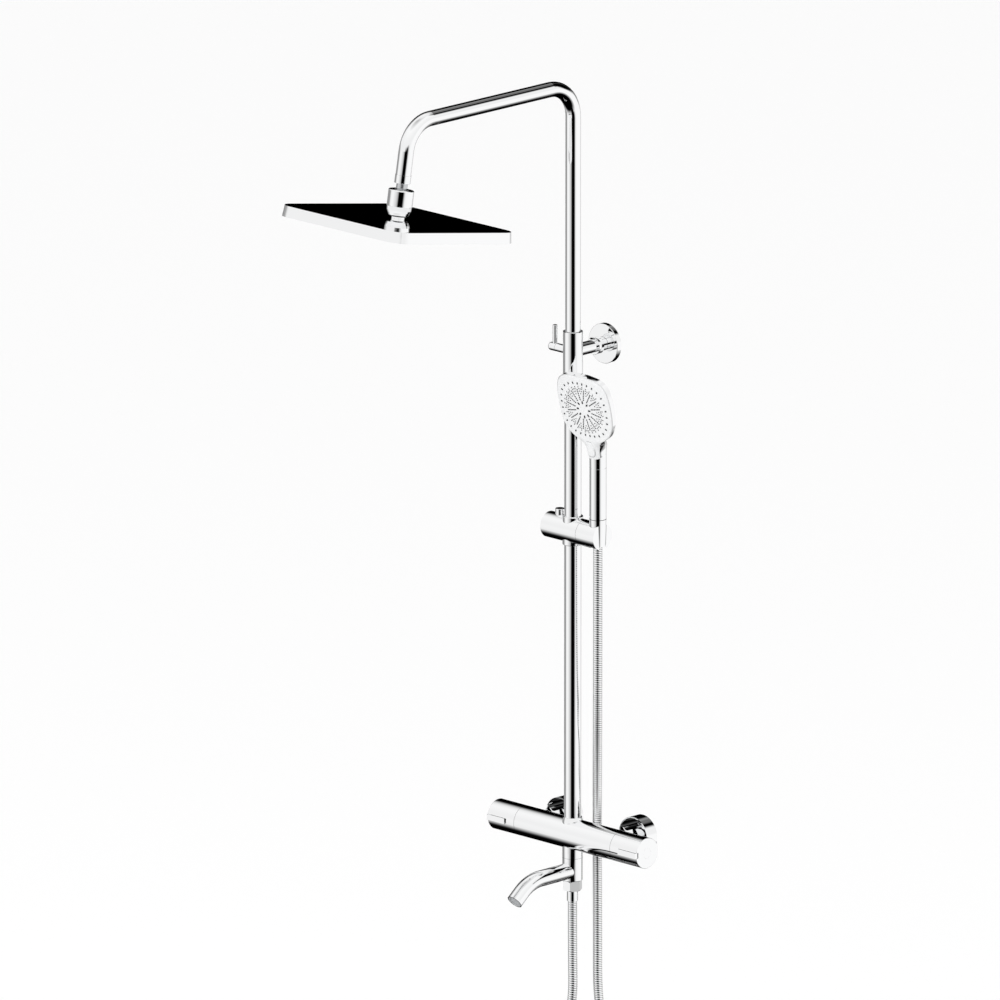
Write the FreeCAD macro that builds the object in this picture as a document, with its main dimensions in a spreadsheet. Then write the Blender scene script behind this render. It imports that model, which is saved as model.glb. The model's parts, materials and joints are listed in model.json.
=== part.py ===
import FreeCAD, Part
import math
import os
import Sketcher
from FreeCAD import Placement, Rotation, Vector

# Wall-mounted thermostatic shower column, in millimetres.
# Origin: finished wall plane, midway between the two water inlets.
# +X to the right as one faces the wall, +Y into the wall, +Z up.

doc = FreeCAD.newDocument("shower_column")
sheet = doc.addObject("Spreadsheet::Sheet", "sizes")

DRIVING = {
    # clearances shared by every fit
    "fit": 0.05,
    "play": 0.3,
    "seam": 0.4,
    # overall layout
    "wall_distance": 70,
    "inlet_spacing": 150,
    "arm_height": 1124.4,
    "arm_reach": 403.9,
    "tip_angle": 80,
    "bracket_height": 726,
    "slider_height": 458.2,
    # thermostatic valve
    "valve_radius": 22.8,
    "body_half": 98,
    "pocket_radius": 17,
    "pocket_depth": 54,
    "channel_radius": 7,
    "boss_radius": 15.6,
    "boss_neck_radius": 13.8,
    "boss_top": 25.6,
    "riser_seat": 12,
    "outlet_radius": 11,
    "outlet_bottom": 30,
    # wall inlets
    "stub_radius": 11.5,
    "stub_bore": 8,
    "flange_radius": 12.6,
    "flange_face": 36,
    "flange_thick": 3,
    "union_radius": 13.1,
    "union_bore": 8,
    "stud_radius": 10.48,
    "stud_length": 16,
    "washer_thick": 1.6,
    "nut_across": 30,
    "nut_front": 42,
    "nut_back": 24,
    "cup_radius": 29.5,
    "cup_depth": 20,
    "cup_wall": 1.6,
    # cartridges and knobs
    "nut_ring_width": 5,
    "cartridge_nose": 12,
    "spindle_radius": 4,
    "spindle_start": 72,
    "spindle_end": 128,
    "knob_end": 152,
    "knob_wall": 2.5,
    "hub_radius": 9,
    "hub_start": 108,
    "hub_back": 147,
    "screw_radius": 2,
    "screw_length": 36,
    "screw_head_radius": 7.5,
    "screw_head_thick": 2,
    "key_start": 116,
    "key_width": 8,
    "key_rise": 1.8,
    "key_root": 19.6,
    "key_travel": 1.2,
    # riser, sleeve and wall bracket
    "riser_radius": 12.5,
    "riser_bore": 11.55,
    "riser_top": 716,
    "sleeve_radius": 14.5,
    "sleeve_bottom": 676,
    "sleeve_top": 756,
    "arm_tube_radius": 11.25,
    "arm_tube_wall": 1,
    "arm_tube_bottom": 420,
    "bend_radius": 48,
    "bracket_arm_radius": 9.5,
    "bracket_arm_end": 20,
    "stem_radius": 10,
    "stem_length": 27,
    "stem_socket": 12,
    "collar_radius": 13,
    "collar_back": 18,
    "collar_front": 28,
    "grub_radius": 2,
    "plate_radius": 26,
    "plate_thick": 4,
    "fixing_spacing": 34,
    "fixing_radius": 2.5,
    "rose_radius": 29.5,
    "rose_depth": 8,
    "rose_wall": 1.4,
    # lock lever
    "lever_radius": 6.2,
    "lever_seam": 32,
    "lever_end": 47,
    "stick_radius": 3.5,
    "stick_offset": 36.5,
    "stick_top": 33,
    "lock_screw_radius": 3,
    # spout and hose outlet under the valve
    "spout_radius": 15,
    "spout_seam": 35,
    "spout_bottom": 70,
    "core_radius": 12,
    "core_bore": 7,
    "thread_radius": 10.3,
    "thread_bottom": 80,
    "spout_level": 55,
    "spout_tube_radius": 12,
    "spout_tube_wall": 1.4,
    "spout_straight": 68,
    "spout_bend": 60,
    "spout_turn": 39,
    "spout_tail": 18,
    "aerator_length": 9,
    "hose_nut_across": 25,
    "hose_nut_bottom": 85,
    "ferrule_radius": 8.25,
    "ferrule_bottom": 101,
    "ferrule_flange": 9.8,
    # overhead shower and its ball joint, stations measured along the arm's tip
    "tip_collar_radius": 11.75,
    "tip_collar_start": 75,
    "tip_collar_end": 87,
    "ball_neck_radius": 8.2,
    "ball_throat_radius": 5.6,
    "ball_radius": 11,
    "ball_station": 104,
    "ball_bore": 3.5,
    "seat_thick": 1.4,
    "socket_radius": 18.75,
    "socket_top": 96,
    "socket_mouth": 12.8,
    "socket_seam": 120,
    "socket_bottom": 135,
    "socket_foot_radius": 15.5,
    "spigot_radius": 9.75,
    "head_station": 138,
    "head_width": 248,
    "head_depth": 246,
    "head_corner": 26,
    "head_rim": 16,
    "head_flare": 7,
    "head_skin": 1.6,
    "face_recess": 2,
    "face_thick": 2.5,
    "mat_thick": 1.5,
    "nozzle_pitch": 21,
    "nozzle_radius": 1.8,
    "nozzle_rise": 1.4,
    # hand shower slider
    "slider_radius": 19.4,
    "slider_left": 47.4,
    "slider_seam": 24,
    "slider_right": 60.5,
    "bush_radius": 14,
    "bush_lip_radius": 15.2,
    "bush_lip": 2,
    "bush_length": 13,
    "button_radius": 7,
    "button_offset": 26,
    "button_top": 27.6,
    "pivot_radius": 4.5,
    "pivot_head": 7.5,
    "cone_offset": 51,
    "cone_top_radius": 12.5,
    "cone_bottom_radius": 11.35,
    "cone_bottom": 444,
    "cone_top": 484,
    "hose_bore": 7.4,
    # hand shower
    "handle_radius": 12.5,
    "handle_seam": 561,
    "handle_top": 604,
    "handle_bore": 7.5,
    "face_forward": 30,
    "face_height": 654,
    "face_lean": 12.6,
    "spray_width": 107,
    "spray_height": 104,
    "spray_top_corner": 27,
    "spray_bottom_corner": 36,
    "spray_rim": 4,
    "spray_back": 11,
    "spray_slope": 60,
    "spray_plate": 3,
    "tongue_width": 24,
    "tongue_thick": 2,
    "tongue_drop": 79,
    "mode_width": 15,
    "mode_height": 22,
    "mode_drop": 64,
    "mode_rise": 1.2,
    "mode_travel": 0.8,
    # hose
    "hose_radius": 7,
}


class Size:
    """A length or an angle: its number, and the spreadsheet expression that gives it."""

    def __init__(self, number, text):
        self.number = number
        self.text = text

    def __float__(self):
        return float(self.number)

    def joined(self, sign, other, number):
        return Size(number, f"({self.text} {sign} {words(other)})")

    def __add__(self, other):
        return self.joined("+", other, float(self) + float(other))

    def __sub__(self, other):
        return self.joined("-", other, float(self) - float(other))

    def __mul__(self, other):
        return self.joined("*", other, float(self) * float(other))

    def __truediv__(self, other):
        return self.joined("/", other, float(self) / float(other))

    def __neg__(self):
        return Size(-self.number, f"(0 - {self.text})")


def words(value):
    return value.text if isinstance(value, Size) else f"({value})"


def sine(angle):
    return Size(math.sin(math.radians(float(angle))), f"sin({angle.text} * 1 deg)")


def cosine(angle):
    return Size(math.cos(math.radians(float(angle))), f"cos({angle.text} * 1 deg)")


def tangent(angle):
    return Size(math.tan(math.radians(float(angle))), f"tan({angle.text} * 1 deg)")


class Sizes:
    """Every alias of the sheet as a Size."""


size = Sizes()
for row, (alias, number) in enumerate(DRIVING.items(), start=1):
    sheet.set(f"A{row}", alias)
    sheet.set(f"B{row}", str(number))
    sheet.setAlias(f"B{row}", alias)
    setattr(size, alias, Size(number, f"sizes.{alias}"))
doc.recompute()

ORIGIN = (0, 0, 0)
UP = Rotation()
DOWN = Rotation(Vector(1, 0, 0), 180)
RIGHT = Rotation(Vector(0, 1, 0), 90)
LEFT = Rotation(Vector(0, 1, 0), -90)
OUT = Rotation(Vector(1, 0, 0), 90)      # away from the wall, along -Y
BACK = Rotation(Vector(1, 0, 0), -90)    # into the wall, along +Y
pieces = []


# Shared ways of making a piece

def bind(thing, path, value):
    """Sets a property from a Size through an expression, or from a plain number."""
    thing.setExpression(path, words(value))


def stand(thing, at=ORIGIN, facing=UP):
    """Gives a piece its place: a bound base point and a direction for its own Z axis."""
    thing.Placement = Placement(Vector(*[float(value) for value in at]), facing)
    for axis, value in zip("xyz", at):
        bind(thing, f"Placement.Base.{axis}", value)
    return thing


def name_piece(label, thing):
    """Marks a finished sub-part: its label names its node and its file."""
    thing.Label = label
    pieces.append(thing)
    return thing


def origin_feature(body, role):
    return next(item for item in body.Origin.OriginFeatures if item.Role == role)


def new_sketch(body, plane):
    sketch = body.newObject("Sketcher::SketchObject", f"{body.Name}_sketch")
    sketch.AttachmentSupport = [(origin_feature(body, plane), "")]
    sketch.MapMode = "FlatFace"
    return sketch


def pin(sketch, geometry, vertex, across, along):
    """Fixes one vertex of a sketch by two bound distances from the sketch's origin."""
    for kind, value in (("DistanceX", across), ("DistanceY", along)):
        place = sketch.addConstraint(Sketcher.Constraint(kind, -1, 1, geometry, vertex, float(value)))
        bind(sketch, f"Constraints[{place}]", value)


def direction(start, end):
    """The axis-parallel direction from one corner to the next, as -1, 0 or 1 each way."""
    return [(float(b) > float(a)) - (float(b) < float(a)) for a, b in zip(start, end)]


def arc_between(centre, start, end, radius, spin):
    """A quarter arc from start to end about centre, drawn anticlockwise as sketches keep it."""
    first, last = (start, end) if spin > 0 else (end, start)
    angles = [math.atan2(point.y - centre.y, point.x - centre.x) for point in (first, last)]
    if angles[1] < angles[0]:
        angles[1] += 2 * math.pi
    return Part.ArcOfCircle(Part.Circle(centre, Vector(0, 0, 1), radius), *angles)


def outline(sketch, corners):
    """Closes a sketch through corners (across, along); a third value rounds a square corner."""
    points = []
    rounded = {}
    for index, corner in enumerate(corners):
        if len(corner) == 2:
            points.append(corner)
            continue
        across, along, radius = corner
        before = direction(corners[index - 1][:2], corner[:2])
        after = direction(corner[:2], corners[(index + 1) % len(corners)][:2])
        rounded[len(points)] = (radius, before, after)
        points.append((radius * -before[0] + across, radius * -before[1] + along))
        points.append((radius * after[0] + across, radius * after[1] + along))
    flat = [Vector(float(across), float(along), 0) for across, along in points]
    for index, point in enumerate(flat):
        following = (index + 1) % len(flat)
        ends = (1, 2)
        if index in rounded:
            radius, before, after = rounded[index]
            spin = before[0] * after[1] - before[1] * after[0]
            centre = point + Vector(after[0], after[1], 0) * float(radius)
            sketch.addGeometry(arc_between(centre, point, flat[following], float(radius), spin), False)
            place = sketch.addConstraint(Sketcher.Constraint("Radius", index, float(radius)))
            bind(sketch, f"Constraints[{place}]", radius)
            ends = (1, 2) if spin > 0 else (2, 1)
        else:
            sketch.addGeometry(Part.LineSegment(point, flat[following]), False)
        pin(sketch, index, ends[0], *points[index])
        pin(sketch, index, ends[1], *points[following])
    return sketch


def circles(sketch, centres, radius):
    """Adds equal circles to a sketch, each with a bound centre and radius."""
    for across, along in centres:
        index = sketch.GeometryCount
        sketch.addGeometry(Part.Circle(Vector(float(across), float(along), 0), Vector(0, 0, 1),
                                       float(radius)), False)
        pin(sketch, index, 3, across, along)
        place = sketch.addConstraint(Sketcher.Constraint("Radius", index, float(radius)))
        bind(sketch, f"Constraints[{place}]", radius)
    return sketch


def bent_path(sketch, heading, steps):
    """Draws straight runs and left-hand bends from the sketch's origin; returns the end point."""
    across, along = Size(0, "0"), Size(0, "0")
    heading = Size(heading, str(heading))
    for index, step in enumerate(steps):
        start = (across, along)
        if len(step) == 1:
            across = across + step[0] * cosine(heading)
            along = along + step[0] * sine(heading)
            line = [Vector(float(a), float(b), 0) for a, b in (start, (across, along))]
            sketch.addGeometry(Part.LineSegment(*line), False)
        else:
            radius, turn = step
            centre = (across - radius * sine(heading), along + radius * cosine(heading))
            turned_to = heading + turn
            across = centre[0] + radius * sine(turned_to)
            along = centre[1] - radius * cosine(turned_to)
            circle = Part.Circle(Vector(float(centre[0]), float(centre[1]), 0), Vector(0, 0, 1),
                                 float(radius))
            angles = [math.radians(float(angle) - 90) for angle in (heading, turned_to)]
            sketch.addGeometry(Part.ArcOfCircle(circle, *angles), False)
            place = sketch.addConstraint(Sketcher.Constraint("Radius", index, float(radius)))
            bind(sketch, f"Constraints[{place}]", radius)
            heading = turned_to
        pin(sketch, index, 1, *start)
        pin(sketch, index, 2, across, along)
    return across, along


def feature(body, kind, sketch, **settings):
    """Adds a sketch-based feature to a body; settings are plain values, Sizes are bound."""
    made = body.newObject(f"PartDesign::{kind}", f"{body.Name}_{kind.lower()}")
    made.Profile = sketch
    for name, value in settings.items():
        if isinstance(value, Size):
            setattr(made, name, float(value))
            bind(made, name, value)
        else:
            setattr(made, name, value)
    sketch.Visibility = False
    return made


def revolve(body, corners, kind="Revolution"):
    """Turns an outline of (radius, height) corners about the body's own Z axis."""
    sketch = outline(new_sketch(body, "XZ_Plane"), corners)
    return feature(body, kind, sketch, ReferenceAxis=(sketch, ["V_Axis"]), Angle=360)


def sweep(body, kind, profile, path):
    made = body.newObject(f"PartDesign::{kind}", f"{body.Name}_{kind.lower()}")
    made.Profile = profile
    made.Spine = path
    return made


def lathe(name, corners, at=ORIGIN, facing=UP):
    body = doc.addObject("PartDesign::Body", name)
    revolve(body, corners)
    return stand(body, at, facing)


def turned(label, corners, at=ORIGIN, facing=UP):
    return name_piece(label, lathe(label, corners, at, facing))


def rod(name, radius, length, at=ORIGIN, facing=UP):
    solid = doc.addObject("Part::Cylinder", name)
    bind(solid, "Radius", radius)
    bind(solid, "Height", length)
    return stand(solid, at, facing)


def ball(name, radius, at=ORIGIN, facing=UP):
    solid = doc.addObject("Part::Sphere", name)
    bind(solid, "Radius", radius)
    return stand(solid, at, facing)


def ring(name, radius, section, at=ORIGIN, facing=UP):
    solid = doc.addObject("Part::Torus", name)
    bind(solid, "Radius1", radius)
    bind(solid, "Radius2", section)
    return stand(solid, at, facing)


def block(name, low, high):
    """A box between two bound corners."""
    solid = doc.addObject("Part::Box", name)
    for side, start, end in zip(("Length", "Width", "Height"), low, high):
        bind(solid, side, end - start)
    return stand(solid, low)


def fuse(name, *solids, refine=True):
    joined = doc.addObject("Part::MultiFuse", name)
    joined.Shapes = list(solids)
    joined.Refine = refine
    return joined


def cut(name, base, *tools):
    made = doc.addObject("Part::Cut", name)
    made.Base = base
    made.Tool = tools[0] if len(tools) == 1 else fuse(f"{name}_tools", *tools)
    made.Refine = True
    return made


def common(name, first, second):
    made = doc.addObject("Part::Common", name)
    made.Base = first
    made.Tool = second
    return made


def mirrored(source, normal=(1, 0, 0), base=ORIGIN):
    copy = doc.addObject("Part::Mirroring", f"{source.Name}_mirrored")
    copy.Source = source
    copy.Normal = Vector(*normal)
    copy.Base = Vector(*[float(value) for value in base])
    for axis, value in zip("xyz", base):
        bind(copy, f"Base.{axis}", value)
    return copy


def group(label, *solids):
    """Identical pieces that share one node, as separate solids."""
    made = doc.addObject("Part::Compound", label)
    made.Links = list(solids)
    return name_piece(label, made)


def hexagon(name, across, low, high, hollow, at, facing):
    """A hexagonal nut with chamfered corners between two heights, hollowed by an inner outline."""
    corner = across / (2 * math.cos(math.radians(30)))
    flat = across / 2
    chamfer = 1.4
    prism = doc.addObject("Part::Prism", f"{name}_prism")
    prism.Polygon = 6
    bind(prism, "Circumradius", corner)
    bind(prism, "Height", high - low)
    shift = facing.multVec(Vector(0, 0, 1))
    stand(prism, [base + low * round(step) for base, step in zip(at, shift)], facing)
    envelope = [(flat + 0.3, low), (corner, low + chamfer), (corner, high - chamfer), (flat + 0.3, high)]
    return common(name, prism, lathe(f"{name}_envelope", envelope + hollow, at, facing))


# Wall inlets: union, filter washer, check valve, union nut and cover, one of each per side

def zero(value=0):
    return Size(value, str(value))


inlet = (size.inlet_spacing / 2, zero(), zero())
washer_back = size.flange_face - size.washer_thick
flange_back = size.flange_face + size.flange_thick

wall_union = lathe("inlet_union", [
    (size.union_bore, -size.stud_length), (size.stud_radius, -size.stud_length),
    (size.stud_radius, 0), (size.union_radius, 0),
    (size.union_radius, washer_back), (size.union_bore, washer_back)], inlet, OUT)
group("inlet_unions", wall_union, mirrored(wall_union))

filter_washer = lathe("inlet_filter", [
    (0, washer_back), (size.union_radius - 1, washer_back),
    (size.union_radius - 1, size.flange_face), (size.union_bore, size.flange_face),
    (size.union_bore, washer_back + 0.5), (0, washer_back + 0.5)], inlet, OUT)
group("inlet_filters", filter_washer, mirrored(filter_washer))

check_valve = lathe("check_valve", [
    (2, size.flange_face + 1), (size.stub_bore - size.fit, size.flange_face + 1),
    (size.stub_bore - size.fit, size.flange_face + 14), (2, size.flange_face + 14)], inlet, OUT)
group("check_valves", check_valve, mirrored(check_valve))

union_nut = hexagon("union_nut", size.nut_across, size.nut_back, size.nut_front, [
    (size.stub_radius + size.fit, size.nut_front), (size.stub_radius + size.fit, flange_back),
    (size.union_radius + size.fit, flange_back), (size.union_radius + size.fit, size.nut_back)],
    inlet, OUT)
group("union_nuts", union_nut, mirrored(union_nut))

inlet_cup = lathe("inlet_cup", [
    (size.union_radius + size.fit, 0), (size.cup_radius, 0), (size.cup_radius, size.cup_depth),
    (size.cup_radius - size.cup_wall, size.cup_depth), (size.cup_radius - size.cup_wall, size.cup_wall),
    (size.union_radius + size.fit, size.cup_wall)], inlet, OUT)
group("inlet_covers", inlet_cup, mirrored(inlet_cup))


# Valve body: barrel with inlet stubs behind, riser boss on top and outlet boss below

axis = (zero(), -size.wall_distance, zero())
axis_y = -size.wall_distance
seal_section = zero(1)
seal_heights = (size.riser_seat + 3.5, size.riser_seat + 8.5)


def along_x(name, radius, start, end):
    return rod(name, radius, end - start, (start, axis_y, zero()), RIGHT)


barrel = along_x("barrel", size.valve_radius, -size.body_half, size.body_half)
stub = rod("stub", size.stub_radius, size.wall_distance - size.flange_face,
           (inlet[0], axis_y, zero()), BACK)
stub_flange = rod("stub_flange", size.flange_radius, size.flange_thick,
                  (inlet[0], -flange_back, zero()), BACK)
riser_boss = lathe("riser_boss", [
    (0, 0), (size.boss_radius, 0), (size.boss_radius, size.valve_radius - 4),
    (size.boss_neck_radius, size.boss_top), (0, size.boss_top)], axis)
outlet_boss = rod("outlet_boss", size.outlet_radius, size.outlet_bottom, axis, DOWN)
valve_outside = fuse("valve_outside", barrel, stub, mirrored(stub), stub_flange,
                     mirrored(stub_flange), riser_boss, outlet_boss)

pocket_floor = size.body_half - size.pocket_depth
pocket = along_x("pocket", size.pocket_radius, pocket_floor, size.body_half + 1)
channel = along_x("channel", size.channel_radius, -pocket_floor - 1, pocket_floor + 1)
stub_hole = rod("stub_hole", size.stub_bore, size.wall_distance - size.flange_face + 1,
                (inlet[0], axis_y, zero()), BACK)
riser_hole = lathe("riser_hole", [
    (0, 0), (size.riser_bore - 2, 0), (size.riser_bore - 2, size.riser_seat),
    (size.riser_radius + size.fit, size.riser_seat), (size.riser_radius + size.fit, size.boss_top + 1),
    (0, size.boss_top + 1)], axis)
outlet_hole = rod("outlet_hole", size.core_bore, size.outlet_bottom + 1, axis, DOWN)
seal_grooves = [ring("seal_groove", size.riser_radius + seal_section, seal_section + size.fit,
                     (zero(), axis_y, height)) for height in seal_heights]
name_piece("valve_body", cut("valve_body", valve_outside, pocket, mirrored(pocket), channel, stub_hole,
                             mirrored(stub_hole), riser_hole, outlet_hole, *seal_grooves))

group("riser_seals", *[ring("riser_seal", size.riser_radius + seal_section, seal_section - size.fit,
                            (zero(), axis_y, height)) for height in seal_heights])


# Cartridges, spindles and knobs: flow on the left, temperature on the right

ring_start = size.body_half - size.nut_ring_width
pocket_fit = size.pocket_radius - size.fit
spindle_hole = size.spindle_radius + size.fit


def cartridge(label, facing, throat):
    """A cartridge that fills its pocket and leaves a seat for its ring nut."""
    return turned(label, [
        (0, pocket_floor + 1), (throat, pocket_floor + 1), (throat, pocket_floor + 10),
        (pocket_fit, pocket_floor + 10), (pocket_fit, ring_start), (size.cartridge_nose, ring_start),
        (size.cartridge_nose, size.body_half), (spindle_hole, size.body_half),
        (spindle_hole, size.spindle_start - 1), (0, size.spindle_start - 1)], axis, facing)


cartridge("thermostat_cartridge", RIGHT, 13)
cartridge("flow_cartridge", LEFT, 11)
ring_nut = lathe("ring_nut", [
    (size.cartridge_nose + size.fit, ring_start), (pocket_fit, ring_start), (pocket_fit, size.body_half),
    (size.cartridge_nose + size.fit, size.body_half)], axis, RIGHT)
group("cartridge_nuts", ring_nut, mirrored(ring_nut))

screw_tip = size.knob_end - size.screw_length
screw_hole = size.screw_radius + size.fit
head_seat = size.knob_end - size.screw_head_thick
key_top = size.valve_radius + size.key_rise
slot_root = size.key_root - size.key_travel - size.play


def knob_set(control, facing, side):
    """Spindle, knob, retaining screw and stop key of one control; side is -1 left, 1 right."""
    turned(f"{control}_spindle", [
        (0, size.spindle_start), (size.spindle_radius, size.spindle_start),
        (size.spindle_radius, size.spindle_end), (screw_hole, size.spindle_end),
        (screw_hole, screw_tip - 1), (0, screw_tip - 1)], axis, facing)
    shell = lathe(f"{control}_shell", [
        (size.valve_radius - size.knob_wall, size.body_half + size.seam),
        (size.valve_radius, size.body_half + size.seam), (size.valve_radius, size.knob_end, zero(0.6)),
        (size.screw_head_radius + size.fit, size.knob_end), (size.screw_head_radius + size.fit, head_seat),
        (screw_hole, head_seat), (screw_hole, size.spindle_end), (spindle_hole, size.spindle_end),
        (spindle_hole, size.hub_start), (size.hub_radius, size.hub_start), (size.hub_radius, size.hub_back),
        (size.valve_radius - size.knob_wall, size.hub_back)], axis, facing)
    ends = [(size.key_start - size.play, size.knob_end + 1), (size.key_start, size.knob_end - size.play)]
    (slot_low, slot_high), (key_low, key_high) = [
        (start, end) if side > 0 else (-end, -start) for start, end in ends]
    half_key = size.key_width / 2
    half_slot = half_key + size.play
    slot = block(f"{control}_slot", (slot_low, axis_y - key_top - 1, -half_slot),
                 (slot_high, axis_y - slot_root, half_slot))
    name_piece(f"{control}_knob", cut(f"{control}_knob", shell, slot))
    turned(f"{control}_knob_screw", [
        (0, screw_tip), (size.screw_radius, screw_tip), (size.screw_radius, head_seat),
        (size.screw_head_radius, head_seat), (size.screw_head_radius, size.knob_end),
        (0, size.knob_end)], axis, facing)
    name_piece(f"{control}_stop_key", block(
        f"{control}_stop_key", (key_low, axis_y - key_top, -half_key),
        (key_high, axis_y - size.key_root, half_key)))


knob_set("flow", LEFT, -1)
knob_set("temperature", RIGHT, 1)


# Riser, sleeve and wall bracket

bracket = (zero(), zero(), size.bracket_height)
bracket_axis = (zero(), axis_y, size.bracket_height)
sleeve_bore = size.riser_radius + size.fit

turned("riser_pipe", [
    (size.riser_bore, size.riser_seat), (size.riser_radius, size.riser_seat),
    (size.riser_radius, size.riser_top), (size.riser_bore, size.riser_top)], axis)

sleeve_tube = lathe("sleeve_tube", [
    (0, size.sleeve_bottom), (size.sleeve_radius, size.sleeve_bottom),
    (size.sleeve_radius, size.sleeve_top), (0, size.sleeve_top)], axis)
sleeve_arm = rod("sleeve_arm", size.bracket_arm_radius, size.wall_distance - size.bracket_arm_end,
                 bracket_axis, BACK)
lever_boss = rod("lever_boss", size.lever_radius, size.lever_seam - size.seam / 2, bracket_axis, LEFT)
sleeve_hole = rod("sleeve_hole", sleeve_bore, size.sleeve_top - size.sleeve_bottom + 2,
                  (zero(), axis_y, size.sleeve_bottom - 1))
screw_thread = rod("screw_thread", size.lock_screw_radius + size.fit, size.lever_seam, bracket_axis, LEFT)
name_piece("bracket_sleeve", cut("bracket_sleeve", fuse("sleeve_casting", sleeve_tube, sleeve_arm,
                                                        lever_boss), sleeve_hole, screw_thread))

turned("guide_bush", [
    (size.arm_tube_radius + size.fit, size.riser_top + size.play), (size.riser_radius, size.riser_top + size.play),
    (size.riser_radius, size.sleeve_top - 3), (size.arm_tube_radius + size.fit, size.sleeve_top - 3)], axis)

turned("bracket_stem", [
    (0, 0), (size.stem_radius, 0), (size.stem_radius, size.stem_length),
    (size.bracket_arm_radius + size.fit, size.stem_length),
    (size.bracket_arm_radius + size.fit, size.stem_socket), (0, size.stem_socket)], bracket, OUT)

collar_blank = lathe("collar_blank", [
    (size.stem_radius + size.fit, size.collar_back), (size.collar_radius, size.collar_back, zero(0.5)),
    (size.collar_radius, size.collar_front, zero(0.5)),
    (size.bracket_arm_radius + size.fit, size.collar_front),
    (size.bracket_arm_radius + size.fit, size.stem_length + size.fit),
    (size.stem_radius + size.fit, size.stem_length + size.fit)], bracket, OUT)
grub_place = (zero(), -(size.collar_back + size.collar_front) / 2, size.bracket_height)
grub_reach = size.collar_radius - size.stem_radius - size.fit
grub_hole = rod("grub_hole", size.grub_radius + size.fit, size.collar_radius + 1, grub_place, DOWN)
name_piece("bracket_collar", cut("bracket_collar", collar_blank, grub_hole))
grub_top = (grub_place[0], grub_place[1], size.bracket_height - size.stem_radius - size.fit)
name_piece("bracket_grub_screw", rod("bracket_grub_screw", size.grub_radius, grub_reach - 0.4,
                                     grub_top, DOWN))

plate_blank = lathe("plate_blank", [
    (size.stem_radius + size.fit, 0), (size.plate_radius, 0), (size.plate_radius, size.plate_thick),
    (size.stem_radius + size.fit, size.plate_thick)], bracket, OUT)
fixing_hole = rod("fixing_hole", size.fixing_radius, size.plate_thick + 2,
                  (size.fixing_spacing / 2, zero(1), size.bracket_height), OUT)
name_piece("wall_plate", cut("wall_plate", plate_blank, fixing_hole, mirrored(fixing_hole)))

turned("bracket_rose", [
    (size.stem_radius + size.play, size.rose_depth - size.rose_wall),
    (size.stem_radius + size.play, size.rose_depth), (size.rose_radius, size.rose_depth, zero(0.8)),
    (size.rose_radius, 0), (size.rose_radius - size.rose_wall, 0),
    (size.rose_radius - size.rose_wall, size.rose_depth - size.rose_wall)], bracket, OUT)

lever_start = size.lever_seam + size.seam / 2
lever_knob = lathe("lever_knob", [
    (0, lever_start), (size.lever_radius, lever_start), (size.lever_radius, size.lever_end, zero(4)),
    (0, size.lever_end)], bracket_axis, LEFT)
lever_stick = lathe("lever_stick", [
    (0, 0), (size.stick_radius, 0), (size.stick_radius, size.stick_top, zero(0.6)), (0, size.stick_top)],
    (-size.stick_offset, axis_y, size.bracket_height))
lever_hole = rod("lever_hole", size.lock_screw_radius + size.fit, size.lever_end - 5, bracket_axis, LEFT)
name_piece("lock_lever", cut("lock_lever", fuse("lever_casting", lever_knob, lever_stick), lever_hole))
name_piece("lock_screw", rod(
    "lock_screw", size.lock_screw_radius, size.lever_end - 6 - sleeve_bore,
    (-sleeve_bore, axis_y, size.bracket_height), LEFT))


# Swivelling bath spout and hose outlet under the valve

core_blank = lathe("core_blank", [
    (size.outlet_radius + size.fit, size.valve_radius - 6), (size.spout_radius, size.valve_radius - 6),
    (size.spout_radius, size.spout_seam), (size.core_radius, size.spout_seam),
    (size.core_radius, size.spout_bottom), (size.thread_radius, size.spout_bottom),
    (size.thread_radius, size.thread_bottom), (size.core_bore, size.thread_bottom),
    (size.core_bore, size.outlet_bottom + 1), (size.outlet_radius + size.fit, size.outlet_bottom + 1)],
    axis, DOWN)
barrel_clearance = along_x("barrel_clearance", size.valve_radius + size.fit, -size.spout_radius - 1,
                           size.spout_radius + 1)
spout_port = rod("spout_port", zero(4), size.core_radius + 1, (zero(), axis_y, -size.spout_level), OUT)
spout_seal_heights = (size.spout_seam + 5, size.spout_bottom - 5)
core_grooves = [ring("core_groove", size.core_radius - seal_section, seal_section + size.fit,
                     (zero(), axis_y, -height)) for height in spout_seal_heights]
name_piece("spout_core", cut("spout_core", core_blank, barrel_clearance, spout_port, *core_grooves))
group("spout_seals", *[ring("spout_seal", size.core_radius - seal_section, seal_section - size.fit,
                            (zero(), axis_y, -height)) for height in spout_seal_heights])

spout_steps = [(size.spout_straight,), (size.spout_bend, size.spout_turn), (size.spout_tail,)]
collar_low = size.spout_level - size.spout_bottom + size.play
collar_high = size.spout_level - size.spout_seam - size.play
spout = doc.addObject("PartDesign::Body", "spout")
spout_path = new_sketch(spout, "YZ_Plane")
spout_end = bent_path(spout_path, 180, spout_steps)
sweep(spout, "AdditivePipe", circles(new_sketch(spout, "XZ_Plane"), [(0, 0)], size.spout_tube_radius),
      spout_path)
revolve(spout, [(0, collar_low), (size.spout_radius, collar_low, zero(1)),
                (size.spout_radius, collar_high), (0, collar_high)])
sweep(spout, "SubtractivePipe", circles(new_sketch(spout, "XZ_Plane"), [(0, 0)],
                                        size.spout_tube_radius - size.spout_tube_wall), spout_path)
revolve(spout, [(0, collar_low - 1), (size.core_radius + size.fit, collar_low - 1),
                (size.core_radius + size.fit, collar_high + 1), (0, collar_high + 1)], "Groove")
stand(spout, (zero(), axis_y, -size.spout_level))
name_piece("spout", spout)


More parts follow.
